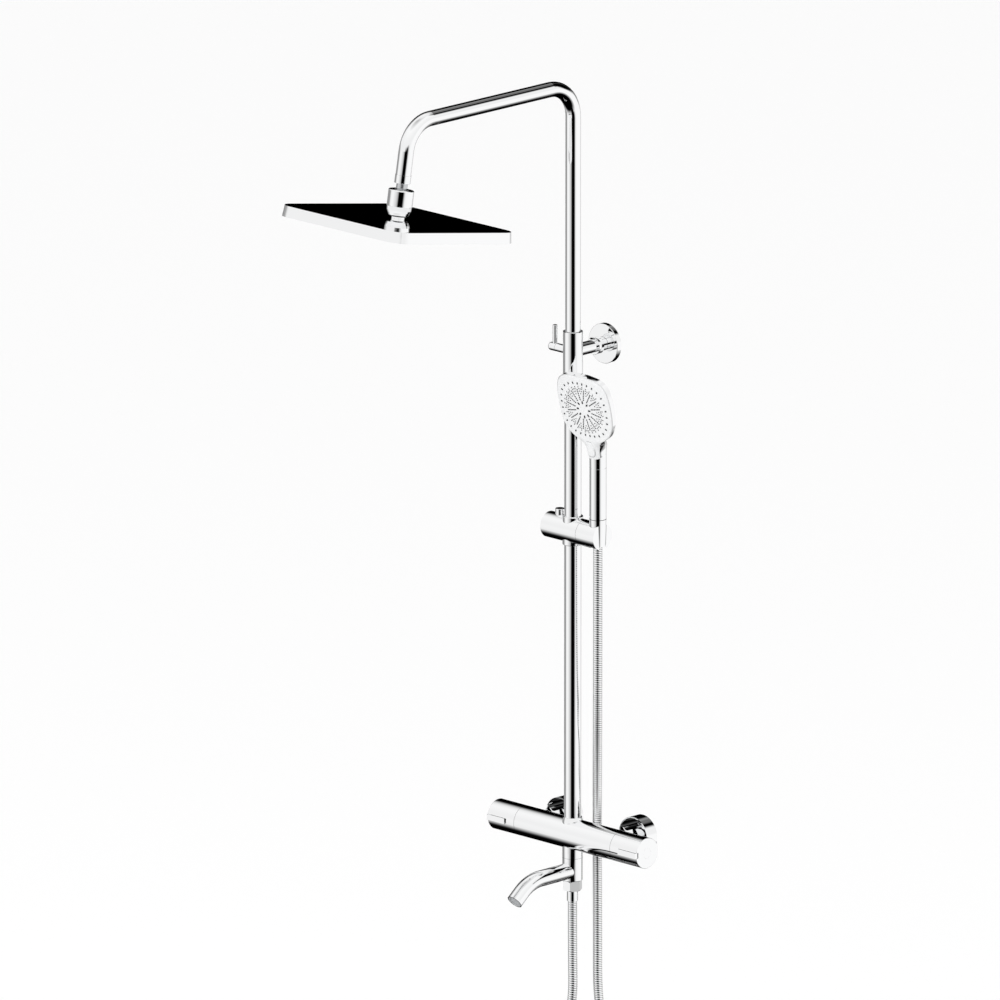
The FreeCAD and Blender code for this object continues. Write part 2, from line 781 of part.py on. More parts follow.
def lean(thing, angle):
    """Turns a placed piece about X by a bound angle, so that its own Z axis leans over."""
    thing.Placement = Placement(thing.Placement.Base, Rotation(Vector(1, 0, 0), float(angle)))
    bind(thing, "Placement.Rotation.Angle", angle)
    return thing


spout_mouth = (zero(), spout_end[0] + axis_y, spout_end[1] - size.spout_level)
aerator_fit = size.spout_tube_radius - size.spout_tube_wall - size.fit
lean(turned("aerator", [
    (0, -size.aerator_length), (aerator_fit, -size.aerator_length), (aerator_fit, -0.5),
    (aerator_fit - 1.5, -0.5), (aerator_fit - 1.5, -2), (0, -2)], spout_mouth), size.spout_turn + 90)

hose_hole = size.hose_radius + size.fit
hose_nut = hexagon("hose_nut", size.hose_nut_across, size.spout_bottom + size.play, size.hose_nut_bottom, [
    (size.ferrule_radius + size.fit, size.hose_nut_bottom),
    (size.ferrule_radius + size.fit, size.thread_bottom + 3),
    (size.thread_radius + size.fit, size.thread_bottom + 3),
    (size.thread_radius + size.fit, size.spout_bottom + size.play)], axis, DOWN)
name_piece("hose_nut", hose_nut)
turned("hose_ferrule", [
    (hose_hole, size.thread_bottom + 0.6), (size.ferrule_flange, size.thread_bottom + 0.6),
    (size.ferrule_flange, size.thread_bottom + 2.8), (size.ferrule_radius, size.thread_bottom + 2.8),
    (size.ferrule_radius, size.ferrule_bottom), (hose_hole, size.ferrule_bottom)], axis, DOWN)


# Telescopic arm: guide piston and its rings in the riser, bent pipe above

pipe_bore = size.arm_tube_radius - size.arm_tube_wall
piston_radius = size.riser_bore - 0.08
piston_low = size.arm_tube_bottom - 22
piston_seals = (size.arm_tube_bottom - 16, size.arm_tube_bottom - 8)
piston_blank = lathe("piston_blank", [
    (7, piston_low), (piston_radius, piston_low), (piston_radius, size.arm_tube_bottom - size.play),
    (pipe_bore - size.fit, size.arm_tube_bottom - size.play), (pipe_bore - size.fit, size.arm_tube_bottom + 14),
    (7, size.arm_tube_bottom + 14)], axis)
piston_grooves = [ring("piston_groove", piston_radius - seal_section, seal_section + size.fit,
                       (zero(), axis_y, height)) for height in piston_seals]
name_piece("telescope_guide", cut("telescope_guide", piston_blank, *piston_grooves))
group("telescope_seals", *[ring("telescope_seal", piston_radius - seal_section, seal_section - size.fit,
                                (zero(), axis_y, height)) for height in piston_seals])

# the arm's straight run ends where the bend towards the tip begins
tip_setback = size.bend_radius * tangent(size.tip_angle / 2)
arm_rise = size.arm_height - size.bend_radius - size.arm_tube_bottom
arm_run = size.arm_reach - size.wall_distance - size.bend_radius - tip_setback
arm_pipe = doc.addObject("PartDesign::Body", "upper_pipe")
arm_path = new_sketch(arm_pipe, "YZ_Plane")
bent_path(arm_path, 90, [(arm_rise,), (size.bend_radius, zero(90)), (arm_run,),
                         (size.bend_radius, size.tip_angle), (size.tip_collar_start - tip_setback,)])
pipe_section = new_sketch(arm_pipe, "XY_Plane")
circles(pipe_section, [(0, 0)], size.arm_tube_radius)
circles(pipe_section, [(0, 0)], pipe_bore)
sweep(arm_pipe, "AdditivePipe", pipe_section, arm_path)
stand(arm_pipe, (zero(), axis_y, size.arm_tube_bottom))
name_piece("upper_pipe", arm_pipe)


# Ball joint and overhead shower, with heights as stations down the arm's tip

tip = (zero(), -size.arm_reach, size.arm_height)
tip_lean = size.tip_angle + 90
tip_down = (zero(), -cosine(size.tip_angle), -sine(size.tip_angle))


def station(distance):
    """The point at a distance along the arm's tip from where its two straights would meet."""
    return [base + distance * step for base, step in zip(tip, tip_down)]


def tip_turned(label, corners):
    return lean(turned(label, corners, tip), tip_lean)


def tip_lathe(name, corners):
    return lean(lathe(name, corners, tip), tip_lean)


stud_fit = pipe_bore - size.fit
tip_turned("tip_collar", [
    (stud_fit + size.fit, size.tip_collar_start + size.fit),
    (size.tip_collar_radius, size.tip_collar_start + size.fit),
    (size.tip_collar_radius, size.tip_collar_end, zero(0.4)), (stud_fit + size.fit, size.tip_collar_end)])

stud_stem = tip_lathe("stud_stem", [
    (0, size.tip_collar_start - 16), (stud_fit, size.tip_collar_start - 16),
    (stud_fit, size.tip_collar_end), (size.ball_neck_radius, size.tip_collar_end),
    (size.ball_neck_radius, size.ball_station - 10), (size.ball_throat_radius, size.ball_station - 7),
    (size.ball_throat_radius, size.ball_station), (0, size.ball_station)])
stud_ball = ball("stud_ball", size.ball_radius, station(size.ball_station))
stud_bore = lean(rod("stud_bore", size.ball_bore, size.ball_station + size.ball_radius,
                     station(size.tip_collar_start - 17)), tip_lean)
name_piece("ball_stud", cut("ball_stud", fuse("ball_and_stem", stud_stem, stud_ball), stud_bore))

seat_inside = size.ball_radius + size.fit
seat_outside = seat_inside + size.seat_thick
seat_ring = tip_lathe("seat_ring", [
    (0, size.ball_station - 7), (size.socket_radius, size.ball_station - 7),
    (size.socket_radius, size.ball_station - 3.6), (0, size.ball_station - 3.6)])
seat_shell = cut("seat_shell", ball("seat_out", seat_outside, station(size.ball_station)),
                 ball("seat_in", seat_inside, station(size.ball_station)))
name_piece("ball_seat", common("ball_seat", seat_shell, seat_ring))

seal_outside = seat_outside + 1.8
seal_blank = tip_lathe("seal_blank", [
    (size.ball_radius - 4, size.ball_station - 0.5), (seal_outside, size.ball_station - 0.5),
    (seal_outside, size.ball_station + 6), (size.ball_radius - 4, size.ball_station + 6)])
name_piece("ball_seal", cut("ball_seal", seal_blank, ball("seal_in", seat_inside + size.fit,
                                                          station(size.ball_station))))

thread_start = size.ball_station + 6 + size.play
thread_outside = size.socket_radius - 3.2
socket_hollow = seal_outside + size.fit
nut_blank = tip_lathe("socket_nut_blank", [
    (size.ball_radius - 1, size.ball_station - 7), (size.socket_mouth, size.socket_top),
    (size.socket_radius, size.socket_top, zero(2)), (size.socket_radius, size.socket_seam - size.seam / 2),
    (thread_outside + size.fit, size.socket_seam - size.seam / 2),
    (thread_outside + size.fit, thread_start), (socket_hollow, thread_start),
    (socket_hollow, size.ball_station - 1), (size.ball_radius - 1, size.ball_station - 1)])
name_piece("socket_nut", cut("socket_nut", nut_blank, ball("nut_seat", seat_outside + size.fit,
                                                           station(size.ball_station))))

spigot_top = size.socket_bottom - 10
tip_turned("socket_body", [
    (size.ball_radius - 1.5, thread_start), (thread_outside, thread_start),
    (thread_outside, size.socket_seam + size.seam / 2), (size.socket_radius, size.socket_seam + size.seam / 2),
    (size.socket_radius - 0.4, size.socket_seam + 6), (size.socket_radius - 1.4, size.socket_bottom - 6),
    (size.socket_foot_radius, size.socket_bottom - 2), (size.socket_foot_radius - 3, size.socket_bottom),
    (size.spigot_radius + size.fit, size.socket_bottom), (size.spigot_radius + size.fit, spigot_top),
    (5, spigot_top), (5, size.ball_station + size.ball_radius + 2),
    (size.ball_radius - 1.5, size.ball_station + size.ball_radius + 2)])

skin_under = size.head_station + size.head_skin
tip_turned("head_spigot", [
    (5, spigot_top + 0.2), (size.spigot_radius, spigot_top + 0.2), (size.spigot_radius, skin_under),
    (size.spigot_radius + 8, skin_under + size.fit), (size.spigot_radius + 8, skin_under + 3),
    (5, skin_under + 3)])


def plate_corners(width, depth, radius):
    """A rounded rectangle about the origin."""
    half_width = width / 2
    half_depth = depth / 2
    return [(-half_width, -half_depth, radius), (half_width, -half_depth, radius),
            (half_width, half_depth, radius), (-half_width, half_depth, radius)]


def raise_sketch(sketch, height):
    bind(sketch, "AttachmentOffset.Base.z", height)
    return sketch


def padded(body, corners, bottom, thick, **settings):
    """A pad of an outline from a bottom height, upwards in the body's own frame."""
    sketch = raise_sketch(outline(new_sketch(body, "XY_Plane"), corners), bottom)
    return feature(body, "Pad", sketch, Length=thick, **settings)


def tip_body(name):
    body = doc.addObject("PartDesign::Body", name)
    stand(body, tip)
    return lean(body, tip_lean)


inner_width = size.head_width - 5
inner_depth = size.head_depth - 5
inner_corner = size.head_corner - 2.5
head_shell = tip_body("head_shell")
padded(head_shell, plate_corners(size.head_width, size.head_depth, size.head_corner), size.head_station,
       size.head_rim, TaperAngle=size.head_flare)
hollow = raise_sketch(outline(new_sketch(head_shell, "XY_Plane"),
                              plate_corners(inner_width, inner_depth, inner_corner)), skin_under)
feature(head_shell, "Pocket", hollow, Length=size.head_rim, Reversed=True)
spigot_pass = raise_sketch(circles(new_sketch(head_shell, "XY_Plane"), [(0, 0)],
                                   size.spigot_radius + size.fit), size.head_station - 1)
feature(head_shell, "Pocket", spigot_pass, Length=size.head_rim, Reversed=True)
name_piece("head_shell", head_shell)

face_back = size.head_station + size.head_rim - size.face_recess - size.face_thick
face_width = inner_width - size.play
face_depth = inner_depth - size.play
nozzle_start = size.nozzle_pitch * -4.5
nozzle_count = 10


def nozzle_grid(body, kind, radius, bottom, height, **settings):
    """One round feature repeated over a square grid."""
    spot = raise_sketch(circles(new_sketch(body, "XY_Plane"), [(nozzle_start, nozzle_start)], radius), bottom)
    first = feature(body, kind, spot, Length=height, **settings)
    steps = []
    for role in ("X_Axis", "Y_Axis"):
        step = body.newObject("PartDesign::LinearPattern", f"{body.Name}_{role[0].lower()}_step")
        step.Direction = (origin_feature(body, role), [""])
        step.Mode = "Spacing"
        step.Occurrences = nozzle_count
        bind(step, "Offset", size.nozzle_pitch)
        steps.append(step)
    grid = body.newObject("PartDesign::MultiTransform", f"{body.Name}_grid")
    grid.Originals = [first]
    grid.Transformations = steps
    body.Tip = grid
    return grid


head_face = tip_body("head_face")
padded(head_face, plate_corners(face_width, face_depth, inner_corner - size.play / 2), face_back,
       size.face_thick)
nozzle_grid(head_face, "Pocket", size.nozzle_radius + size.fit, face_back - 1, size.face_thick + 2,
            Reversed=True)
name_piece("head_face", head_face)

head_nozzles = tip_body("head_nozzles")
padded(head_nozzles, plate_corners(face_width - 6, face_depth - 6, inner_corner - 3),
       face_back - size.mat_thick - size.fit, size.mat_thick)
nozzle_grid(head_nozzles, "Pad", size.nozzle_radius, face_back - size.fit - 0.5,
            size.face_thick + size.nozzle_rise + 0.5)
name_piece("head_nozzles", head_nozzles)


# Hand shower slider: clamp on the riser, friction parts, tilting cradle

slider_axis = (zero(), axis_y, size.slider_height)
clamp_end = size.slider_seam - size.seam / 2
cradle_start = size.slider_seam + size.seam / 2
bush_hole = size.bush_radius + size.fit
shoe_back = size.bush_radius + 4.5
shoe_half = zero(4)
button_place = (-size.button_offset, axis_y, size.slider_height)


def slider_rod(name, radius, start, end):
    return rod(name, radius, end - start, (start, axis_y, size.slider_height), RIGHT)


clamp_blank = slider_rod("clamp_blank", size.slider_radius, -size.slider_left, clamp_end)
clamp_hole = rod("clamp_hole", bush_hole, size.slider_radius * 2 + 2,
                 (zero(), axis_y, size.slider_height - size.slider_radius - 1))
button_hole = rod("button_hole", size.button_radius + size.play, size.slider_radius + 1, button_place)
shoe_hole = block("shoe_hole",
                  (-shoe_back - size.play, axis_y - shoe_half - size.play,
                   size.slider_height - shoe_half - size.play),
                  (zero(), axis_y + shoe_half + size.play, size.slider_height + shoe_half + size.play))
pivot_hole = slider_rod("pivot_hole", size.pivot_radius + size.fit, zero(), clamp_end + 1)
name_piece("slider_body", cut("slider_body", clamp_blank, clamp_hole, button_hole, shoe_hole, pivot_hole))

bush_low = size.slider_radius + size.bush_lip - size.bush_length
lip_blank = lathe("lip_blank", [
    (0, 6), (size.bush_lip_radius, 6),
    (size.bush_lip_radius, size.slider_radius + size.bush_lip, zero(1)),
    (0, size.slider_radius + size.bush_lip)], slider_axis)
lip_saddle = slider_rod("lip_saddle", size.slider_radius + size.fit, -size.bush_lip_radius - 1,
                        size.bush_lip_radius + 1)
bush_tube = rod("bush_tube", size.bush_radius, size.bush_length,
                (zero(), axis_y, size.slider_height + bush_low))
riser_pass = rod("riser_pass", sleeve_bore, size.slider_radius * 2,
                 (zero(), axis_y, size.slider_height))
upper_bush = cut("upper_bush", fuse("bush_blank", cut("bush_lip", lip_blank, lip_saddle), bush_tube),
                 riser_pass)
group("slider_bushes", upper_bush, mirrored(upper_bush, (0, 0, 1), slider_axis))

shoe_blank = block("shoe_blank", (-shoe_back, axis_y - shoe_half, size.slider_height - shoe_half),
                   (-size.riser_radius + 1, axis_y + shoe_half, size.slider_height + shoe_half))
shoe_face = rod("shoe_face", sleeve_bore, size.slider_radius * 2,
                (zero(), axis_y, size.slider_height - size.slider_radius))
name_piece("brake_shoe", cut("brake_shoe", shoe_blank, shoe_face))

button_foot = size.button_top - 15
turned("release_button", [
    (0, button_foot), (size.button_radius, button_foot), (size.button_radius, size.button_top, zero(0.8)),
    (0, size.button_top)], button_place)

spring_radius = zero(4.4)
spring_wire = zero(0.5)
spring_low = spring_wire + size.fit
spring_coil = doc.addObject("Part::Helix", "spring_coil")
bind(spring_coil, "Radius", spring_radius)
bind(spring_coil, "Pitch", zero(2.2))
bind(spring_coil, "Height", button_foot - spring_low * 2)
spring_section = doc.addObject("Part::Circle", "spring_section")
bind(spring_section, "Radius", spring_wire)
spring_section.Placement = Placement(Vector(float(spring_radius), 0, 0), Rotation(Vector(1, 0, 0), 90))
bind(spring_section, "Placement.Base.x", spring_radius)
spring = doc.addObject("Part::Sweep", "release_spring")
spring.Sections = [spring_section]
spring.Spine = (spring_coil, [])
spring.Solid = True
spring.Frenet = True
stand(spring, (button_place[0], button_place[1], size.slider_height + spring_low))
name_piece("release_spring", spring)

pivot_end = size.cone_offset - size.cone_top_radius - 2.5
turned("cradle_pivot", [
    (0, size.bush_radius + 2), (size.pivot_radius, size.bush_radius + 2),
    (size.pivot_radius, pivot_end - 3), (size.pivot_head, pivot_end - 3), (size.pivot_head, pivot_end),
    (0, pivot_end)], slider_axis, RIGHT)

cradle_blank = slider_rod("cradle_blank", size.slider_radius, cradle_start, size.slider_right)
cone_hole = doc.addObject("Part::Cone", "cone_hole")
bind(cone_hole, "Radius1", size.cone_bottom_radius + size.play)
bind(cone_hole, "Radius2", size.cone_top_radius + size.play)
bind(cone_hole, "Height", size.cone_top - size.cone_bottom)
stand(cone_hole, (size.cone_offset, axis_y, size.cone_bottom))
hose_slot = rod("hose_slot", size.cone_bottom_radius + size.play, size.slider_radius * 2,
                (size.cone_offset, axis_y, size.cone_bottom - size.slider_radius * 2))
pivot_pass = slider_rod("pivot_pass", size.pivot_radius + size.fit, zero(), pivot_end)
pivot_pocket = slider_rod("pivot_pocket", size.pivot_head + size.play, pivot_end - 3 - size.fit,
                          size.cone_offset)
name_piece("cradle", cut("cradle", cradle_blank, cone_hole, hose_slot, pivot_pass, pivot_pocket))


# Hand shower: conical nut, chromed body, white face, silicone nozzles, mode button

hand_axis = (size.cone_offset, axis_y, zero())
thread_low = size.cone_top - 13
turned("cone_nut", [
    (size.hose_bore, size.cone_bottom), (size.cone_bottom_radius, size.cone_bottom),
    (size.cone_top_radius, size.cone_top), (size.thread_radius + size.fit, size.cone_top),
    (size.thread_radius + size.fit, thread_low), (size.hose_bore, thread_low)], hand_axis)

face_place = (size.cone_offset, axis_y - size.face_forward, size.face_height)
face_turn = size.face_lean + 90
NOZZLE_RADII = (17, 22, 27, 32, 37, 43)
NOZZLE_ROWS = 16


def face_body(name):
    body = doc.addObject("PartDesign::Body", name)
    stand(body, face_place)
    return lean(body, face_turn)


def spray_corners(inset):
    """The hand shower's face: a rounded square with softer corners towards the handle."""
    half_width = size.spray_width / 2 - inset
    half_height = size.spray_height / 2 - inset
    top = size.spray_top_corner - inset
    bottom = size.spray_bottom_corner - inset
    return [(-half_width, -half_height, bottom), (half_width, -half_height, bottom),
            (half_width, half_height, top), (-half_width, half_height, top)]


def neck_corners(inset):
    """The neck below the face, widening upwards from the handle's width."""
    foot = -size.tongue_drop
    flare = [(-2.5, inset), (0.5, 3), (4.6, 10.5), (9.8, 24), (16, 37)]
    right = [(size.tongue_width / 2 + wider - inset, foot + higher) for wider, higher in flare]
    return right + [(-across, along) for across, along in reversed(right)]


def nozzle_rays(body, kind, radius, bottom, height, **settings):
    """Rows of round features along rays, repeated round the face."""
    ray = raise_sketch(circles(new_sketch(body, "XY_Plane"), [(zero(away), zero()) for away in NOZZLE_RADII],
                               radius), bottom)
    first = feature(body, kind, ray, Length=height, **settings)
    rays = body.newObject("PartDesign::PolarPattern", f"{body.Name}_rays")
    rays.Originals = [first]
    rays.Axis = (origin_feature(body, "Z_Axis"), [""])
    rays.Angle = 360
    rays.Occurrences = NOZZLE_ROWS
    body.Tip = rays
    return rays


plate_back = -size.spray_plate - size.play
tongue_back = -size.tongue_thick - size.play
rim_back = plate_back - size.spray_rim
mat_back = plate_back - 1.2
shell_wall = 2
back_shell = face_body("back_shell")
padded(back_shell, spray_corners(0), rim_back, size.spray_rim)
padded(back_shell, spray_corners(0), rim_back, size.spray_back, Reversed=True, TaperAngle=-size.spray_slope)
shell_hollow = raise_sketch(outline(new_sketch(back_shell, "XY_Plane"), spray_corners(3)), plate_back)
feature(back_shell, "Pocket", shell_hollow, Length=size.spray_rim + size.spray_back - shell_wall,
        TaperAngle=-size.spray_slope)

handle = lathe("handle", [
    (0, thread_low + 1), (size.thread_radius, thread_low + 1),
    (size.thread_radius, size.cone_top + size.play), (size.handle_radius, size.cone_top + size.play),
    (size.handle_radius, size.handle_seam), (size.handle_radius - 0.4, size.handle_seam),
    (size.handle_radius - 0.4, size.handle_seam + size.seam),
    (size.handle_radius, size.handle_seam + size.seam),
    (size.handle_radius, size.handle_top, size.handle_radius / 2), (0, size.handle_top)], hand_axis)
neck_place = (size.cone_offset, axis_y, size.handle_top - 16)
neck_spine = doc.addObject("Part::Cone", "neck_spine")
bind(neck_spine, "Radius1", size.handle_radius * 0.93)
bind(neck_spine, "Radius2", size.handle_radius / 4)
bind(neck_spine, "Height", size.spray_height * 0.7)
lean(stand(neck_spine, neck_place), size.face_lean)
neck_sides = face_body("neck_sides")
padded(neck_sides, neck_corners(0), rim_back - size.spray_back + shell_wall,
       size.spray_back - shell_wall + size.spray_rim + 1)

water_way = rod("water_way", size.handle_bore, size.handle_top - thread_low - 4,
                (size.cone_offset, axis_y, thread_low))
neck_bore = lean(rod("neck_bore", zero(5), zero(30),
                     (size.cone_offset, axis_y, size.handle_top - 6)), size.face_lean + 18)
face_seat = face_body("face_seat")
padded(face_seat, spray_corners(0), plate_back, zero(15))
padded(face_seat, spray_corners(6), mat_back - size.play, zero(15))
padded(face_seat, neck_corners(0.9), tongue_back, zero(15))
name_piece("handset_body", cut("handset_body", fuse("handset_blank", back_shell, handle, neck_spine,
                                                    neck_sides, refine=False),
                               water_way, neck_bore, face_seat))

spray_face = face_body("spray_face")
padded(spray_face, spray_corners(0), -size.spray_plate, size.spray_plate)
padded(spray_face, neck_corners(1.2), -size.tongue_thick, size.tongue_thick)
nozzle_rays(spray_face, "Pocket", zero(1) + size.fit, -size.spray_plate - 1, size.spray_plate + 2,
            Reversed=True)


def mode_body(name, spare, bottom, thick):
    """A block of the mode button's outline in the face's frame."""
    body = face_body(name)
    half = size.mode_width / 2 + spare
    low = -size.mode_drop - size.mode_height / 2 - spare
    high = low + size.mode_height + spare * 2
    padded(body, [(-half, low, zero(2)), (half, low, zero(2)), (half, high, zero(2)),
                  (-half, high, zero(2))], bottom, thick)
    return body


mode_seat = mode_body("mode_seat", size.play, -size.tongue_thick - 1, size.tongue_thick + 3)
name_piece("handset_face", cut("handset_face", spray_face, mode_seat))
mode_back = size.mode_travel + 0.2 - size.tongue_thick
name_piece("mode_button", mode_body("mode_button", zero(), mode_back, size.mode_rise - mode_back))

nozzle_mat = face_body("handset_nozzles")
padded(nozzle_mat, spray_corners(6.5), mat_back, zero(1.2))
nozzle_rays(nozzle_mat, "Pad", zero(1), mat_back + 0.6, size.spray_plate + 1.4)
name_piece("handset_nozzles", nozzle_mat)


# Hose: 1.5 m, from the hand shower's nut past the back of the valve into a hanging loop

HOSE_POINTS = [
    (51, -70, 481), (51, -70, 352), (43, -62, 216), (24, -43, 96), (16, -35, -20), (19, -37, -145),
    (20, -38, -258), (45, -42, -322), (90, -45, -375), (92, -49, -444), (44, -52, -494),
    (-24, -56, -494), (-72, -59, -444), (-70, -63, -375), (-25, -66, -322), (1, -69, -258),
    (0, -70, -172), (0, -70, -82),
]


def hose_route(points):
    """Straight runs joined by tangent arcs; returns the wire and the radius of each arc."""
    spots = [Vector(*point) for point in points]
    edges = []
    radii = []
    start = spots[0]
    for before, spot, after in zip(spots, spots[1:], spots[2:]):
        arriving = (spot - before).normalize()
        leaving = (after - spot).normalize()
        half_turn = arriving.getAngle(leaving) / 2
        setback = 0.45 * min((spot - before).Length, (after - spot).Length)
        radius = setback / math.tan(half_turn)
        radii.append(radius)
        arc_start = spot - arriving * setback
        arc_end = spot + leaving * setback
        towards = (leaving - arriving).normalize()
        middle = spot + towards * (radius / math.cos(half_turn) - radius)
        edges.append(Part.LineSegment(start, arc_start).toShape())
        edges.append(Part.Arc(arc_start, middle, arc_end).toShape())
        start = arc_end
    edges.append(Part.LineSegment(start, spots[-1]).toShape())
    return Part.Wire(edges), radii


route, bend_radii = hose_route(HOSE_POINTS)
start_direction = Vector(*HOSE_POINTS[1]) - Vector(*HOSE_POINTS[0])
hose_section = Part.Wire(Part.Circle(Vector(*HOSE_POINTS[0]), start_direction,
                                     float(size.hose_radius)).toShape())
hose = doc.addObject("Part::Feature", "shower_hose")
hose.Shape = route.makePipeShell([hose_section], True, False)
name_piece("shower_hose", hose)
print("hose length", round(route.Length, 1))
print("hose arc radii", [round(radius, 1) for radius in bend_radii])
print("hose volume over section times length",
      round(hose.Shape.Volume / (math.pi * float(size.hose_radius) ** 2 * route.Length), 4))


# Check every object and write one STEP file per sub-part

doc.recompute()
failed = [thing.Name for thing in doc.Objects if {"Invalid", "Error"} & set(thing.State)]
if failed:
    raise RuntimeError(f"objects failed to recompute: {failed}")
for piece in pieces:
    if piece.Shape.isNull() or not piece.Shape.isValid():
        raise RuntimeError(f"{piece.Label} has no valid shape")
os.makedirs("parts", exist_ok=True)
for piece in pieces:
    piece.Shape.exportStep(os.path.join("parts", f"{piece.Label}.step"))
print(len(pieces), "sub-parts written")
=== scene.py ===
import bmesh
import bpy
import json
import math
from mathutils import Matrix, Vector


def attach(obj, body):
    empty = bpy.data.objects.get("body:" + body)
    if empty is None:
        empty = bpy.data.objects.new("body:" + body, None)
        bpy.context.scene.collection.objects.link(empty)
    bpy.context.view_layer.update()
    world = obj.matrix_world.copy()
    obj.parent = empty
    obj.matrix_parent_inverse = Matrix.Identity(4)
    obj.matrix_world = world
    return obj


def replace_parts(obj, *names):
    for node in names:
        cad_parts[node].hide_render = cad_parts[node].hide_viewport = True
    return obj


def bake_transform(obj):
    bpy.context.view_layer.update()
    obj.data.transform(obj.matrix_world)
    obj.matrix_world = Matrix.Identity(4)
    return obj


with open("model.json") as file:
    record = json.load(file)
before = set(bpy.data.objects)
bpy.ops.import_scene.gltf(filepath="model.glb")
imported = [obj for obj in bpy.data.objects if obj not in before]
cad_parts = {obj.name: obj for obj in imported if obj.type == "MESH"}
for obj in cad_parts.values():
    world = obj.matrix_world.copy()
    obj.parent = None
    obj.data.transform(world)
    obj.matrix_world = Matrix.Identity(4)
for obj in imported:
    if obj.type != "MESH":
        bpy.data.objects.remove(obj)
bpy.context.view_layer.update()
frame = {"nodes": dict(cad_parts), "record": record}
nodes = frame["nodes"]
mm = 0.001
print("frame loaded:", len(nodes), "nodes")


# a very long lens far back, so the view is near-parallel; width is what it takes in at the target, in metres
camera = {"target": (0.0, -0.220, 0.531), "back": (0.6811, -0.6859, 0.2563), "lens": 800, "sensor": 36,
          "width": 1.4468, "clip": (1, 200)}


def makeCamera(spec):
    data = bpy.data.cameras.new("showerCamera")
    data.lens = spec["lens"]
    data.sensor_width = spec["sensor"]
    data.clip_start, data.clip_end = spec["clip"]
    distance = spec["width"] * spec["lens"] / spec["sensor"]
    holder = bpy.data.objects.new("showerCamera", data)
    back = Vector(spec["back"]).normalized()
    holder.location = Vector(spec["target"]) + back * distance
    holder.rotation_mode = "QUATERNION"
    holder.rotation_quaternion = (-back).to_track_quat("-Z", "Y")
    bpy.context.scene.collection.objects.link(holder)
    bpy.context.scene.camera = holder


makeCamera(camera)
print("camera placed")


def link(tree, source, target):
    tree.links.new(source, target)


def addNode(tree, kind, **values):
    made = tree.nodes.new(kind)
    for name, value in values.items():
        if name in made.inputs:
            made.inputs[name].default_value = value
        else:
            setattr(made, name, value)
    return made


def newGroup(name, inputs, outputs):
    group = bpy.data.node_groups.new(name, "ShaderNodeTree")
    for label, value in inputs.items():
        socket = group.interface.new_socket(label, in_out="INPUT", socket_type="NodeSocketFloat")
        socket.default_value = value
    for label in outputs:
        group.interface.new_socket(label, in_out="OUTPUT", socket_type="NodeSocketFloat")
    return group, group.nodes.new("NodeGroupInput"), group.nodes.new("NodeGroupOutput")


def mapRange(tree, source, low, high, toLow, toHigh):
    node = addNode(tree, "ShaderNodeMapRange", interpolation_type="SMOOTHSTEP")
    for socket, value in zip(node.inputs[1:5], (low, high, toLow, toHigh)):
        socket.default_value = value
    link(tree, source, node.inputs[0])
    return node.outputs[0]


def mathNode(tree, operation, first, second=None):
    node = addNode(tree, "ShaderNodeMath", operation=operation)
    for socket, value in zip(node.inputs, (first, second)):
        if isinstance(value, (int, float)):
            socket.default_value = value
        elif value is not None:
            link(tree, value, socket)
    return node.outputs[0]


# dried water: faint round marks and soft streaks that dull a polished surface
def makeWaterMarks():
    group, inside, outside = newGroup("waterMarks", {"Size": 260.0, "Amount": 0.5}, ["Mask"])
    place = group.nodes.new("ShaderNodeTexCoord")
    cells = addNode(group, "ShaderNodeTexVoronoi", feature="F1")
    link(group, place.outputs["Object"], cells.inputs["Vector"])
    link(group, inside.outputs["Size"], cells.inputs["Scale"])
    ringEdge = mapRange(group, cells.outputs["Distance"], 0.30, 0.36, 0.0, 1.0)
    ringInner = mapRange(group, cells.outputs["Distance"], 0.22, 0.30, 1.0, 0.0)
    drop = mathNode(group, "MULTIPLY", mathNode(group, "SUBTRACT", 1.0, ringEdge),
                    mathNode(group, "SUBTRACT", 1.0, ringInner))
    patches = addNode(group, "ShaderNodeTexNoise", Scale=14.0, Detail=3.0)
    link(group, place.outputs["Object"], patches.inputs["Vector"])
    spread = mapRange(group, patches.outputs[0], 0.52, 0.72, 0.0, 1.0)
    marks = mathNode(group, "MULTIPLY", drop, spread)
    link(group, mathNode(group, "MULTIPLY", marks, inside.outputs["Amount"]), outside.inputs["Mask"])
    return group


# fine unevenness left by polishing or moulding, as a height
def makeSurfaceGrain():
    group, inside, outside = newGroup("surfaceGrain", {"Size": 400.0, "Depth": 0.5}, ["Height"])
    place = group.nodes.new("ShaderNodeTexCoord")
    fine = addNode(group, "ShaderNodeTexNoise", Detail=4.0)
    link(group, place.outputs["Object"], fine.inputs["Vector"])
    link(group, inside.outputs["Size"], fine.inputs["Scale"])
    link(group, mathNode(group, "MULTIPLY", fine.outputs[0], inside.outputs["Depth"]),
         outside.inputs["Height"])
    return group


waterMarks = makeWaterMarks()
surfaceGrain = makeSurfaceGrain()


def useGroup(tree, group, **values):
    node = tree.nodes.new("ShaderNodeGroup")
    node.node_tree = group
    for name, value in values.items():
        node.inputs[name].default_value = value
    return node


def newMaterial(name, **values):
    made = bpy.data.materials.new(name)
    made.use_nodes = True
    surface = made.node_tree.nodes["Principled BSDF"]
    for label, value in values.items():
        surface.inputs[label].default_value = value
    made.diffuse_color = surface.inputs["Base Color"].default_value
    return made, made.node_tree, surface


def addBump(tree, surface, height, strength, distance):
    bump = addNode(tree, "ShaderNodeBump", Strength=strength, Distance=distance)
    link(tree, height, bump.inputs["Height"])
    link(tree, bump.outputs["Normal"], surface.inputs["Normal"])


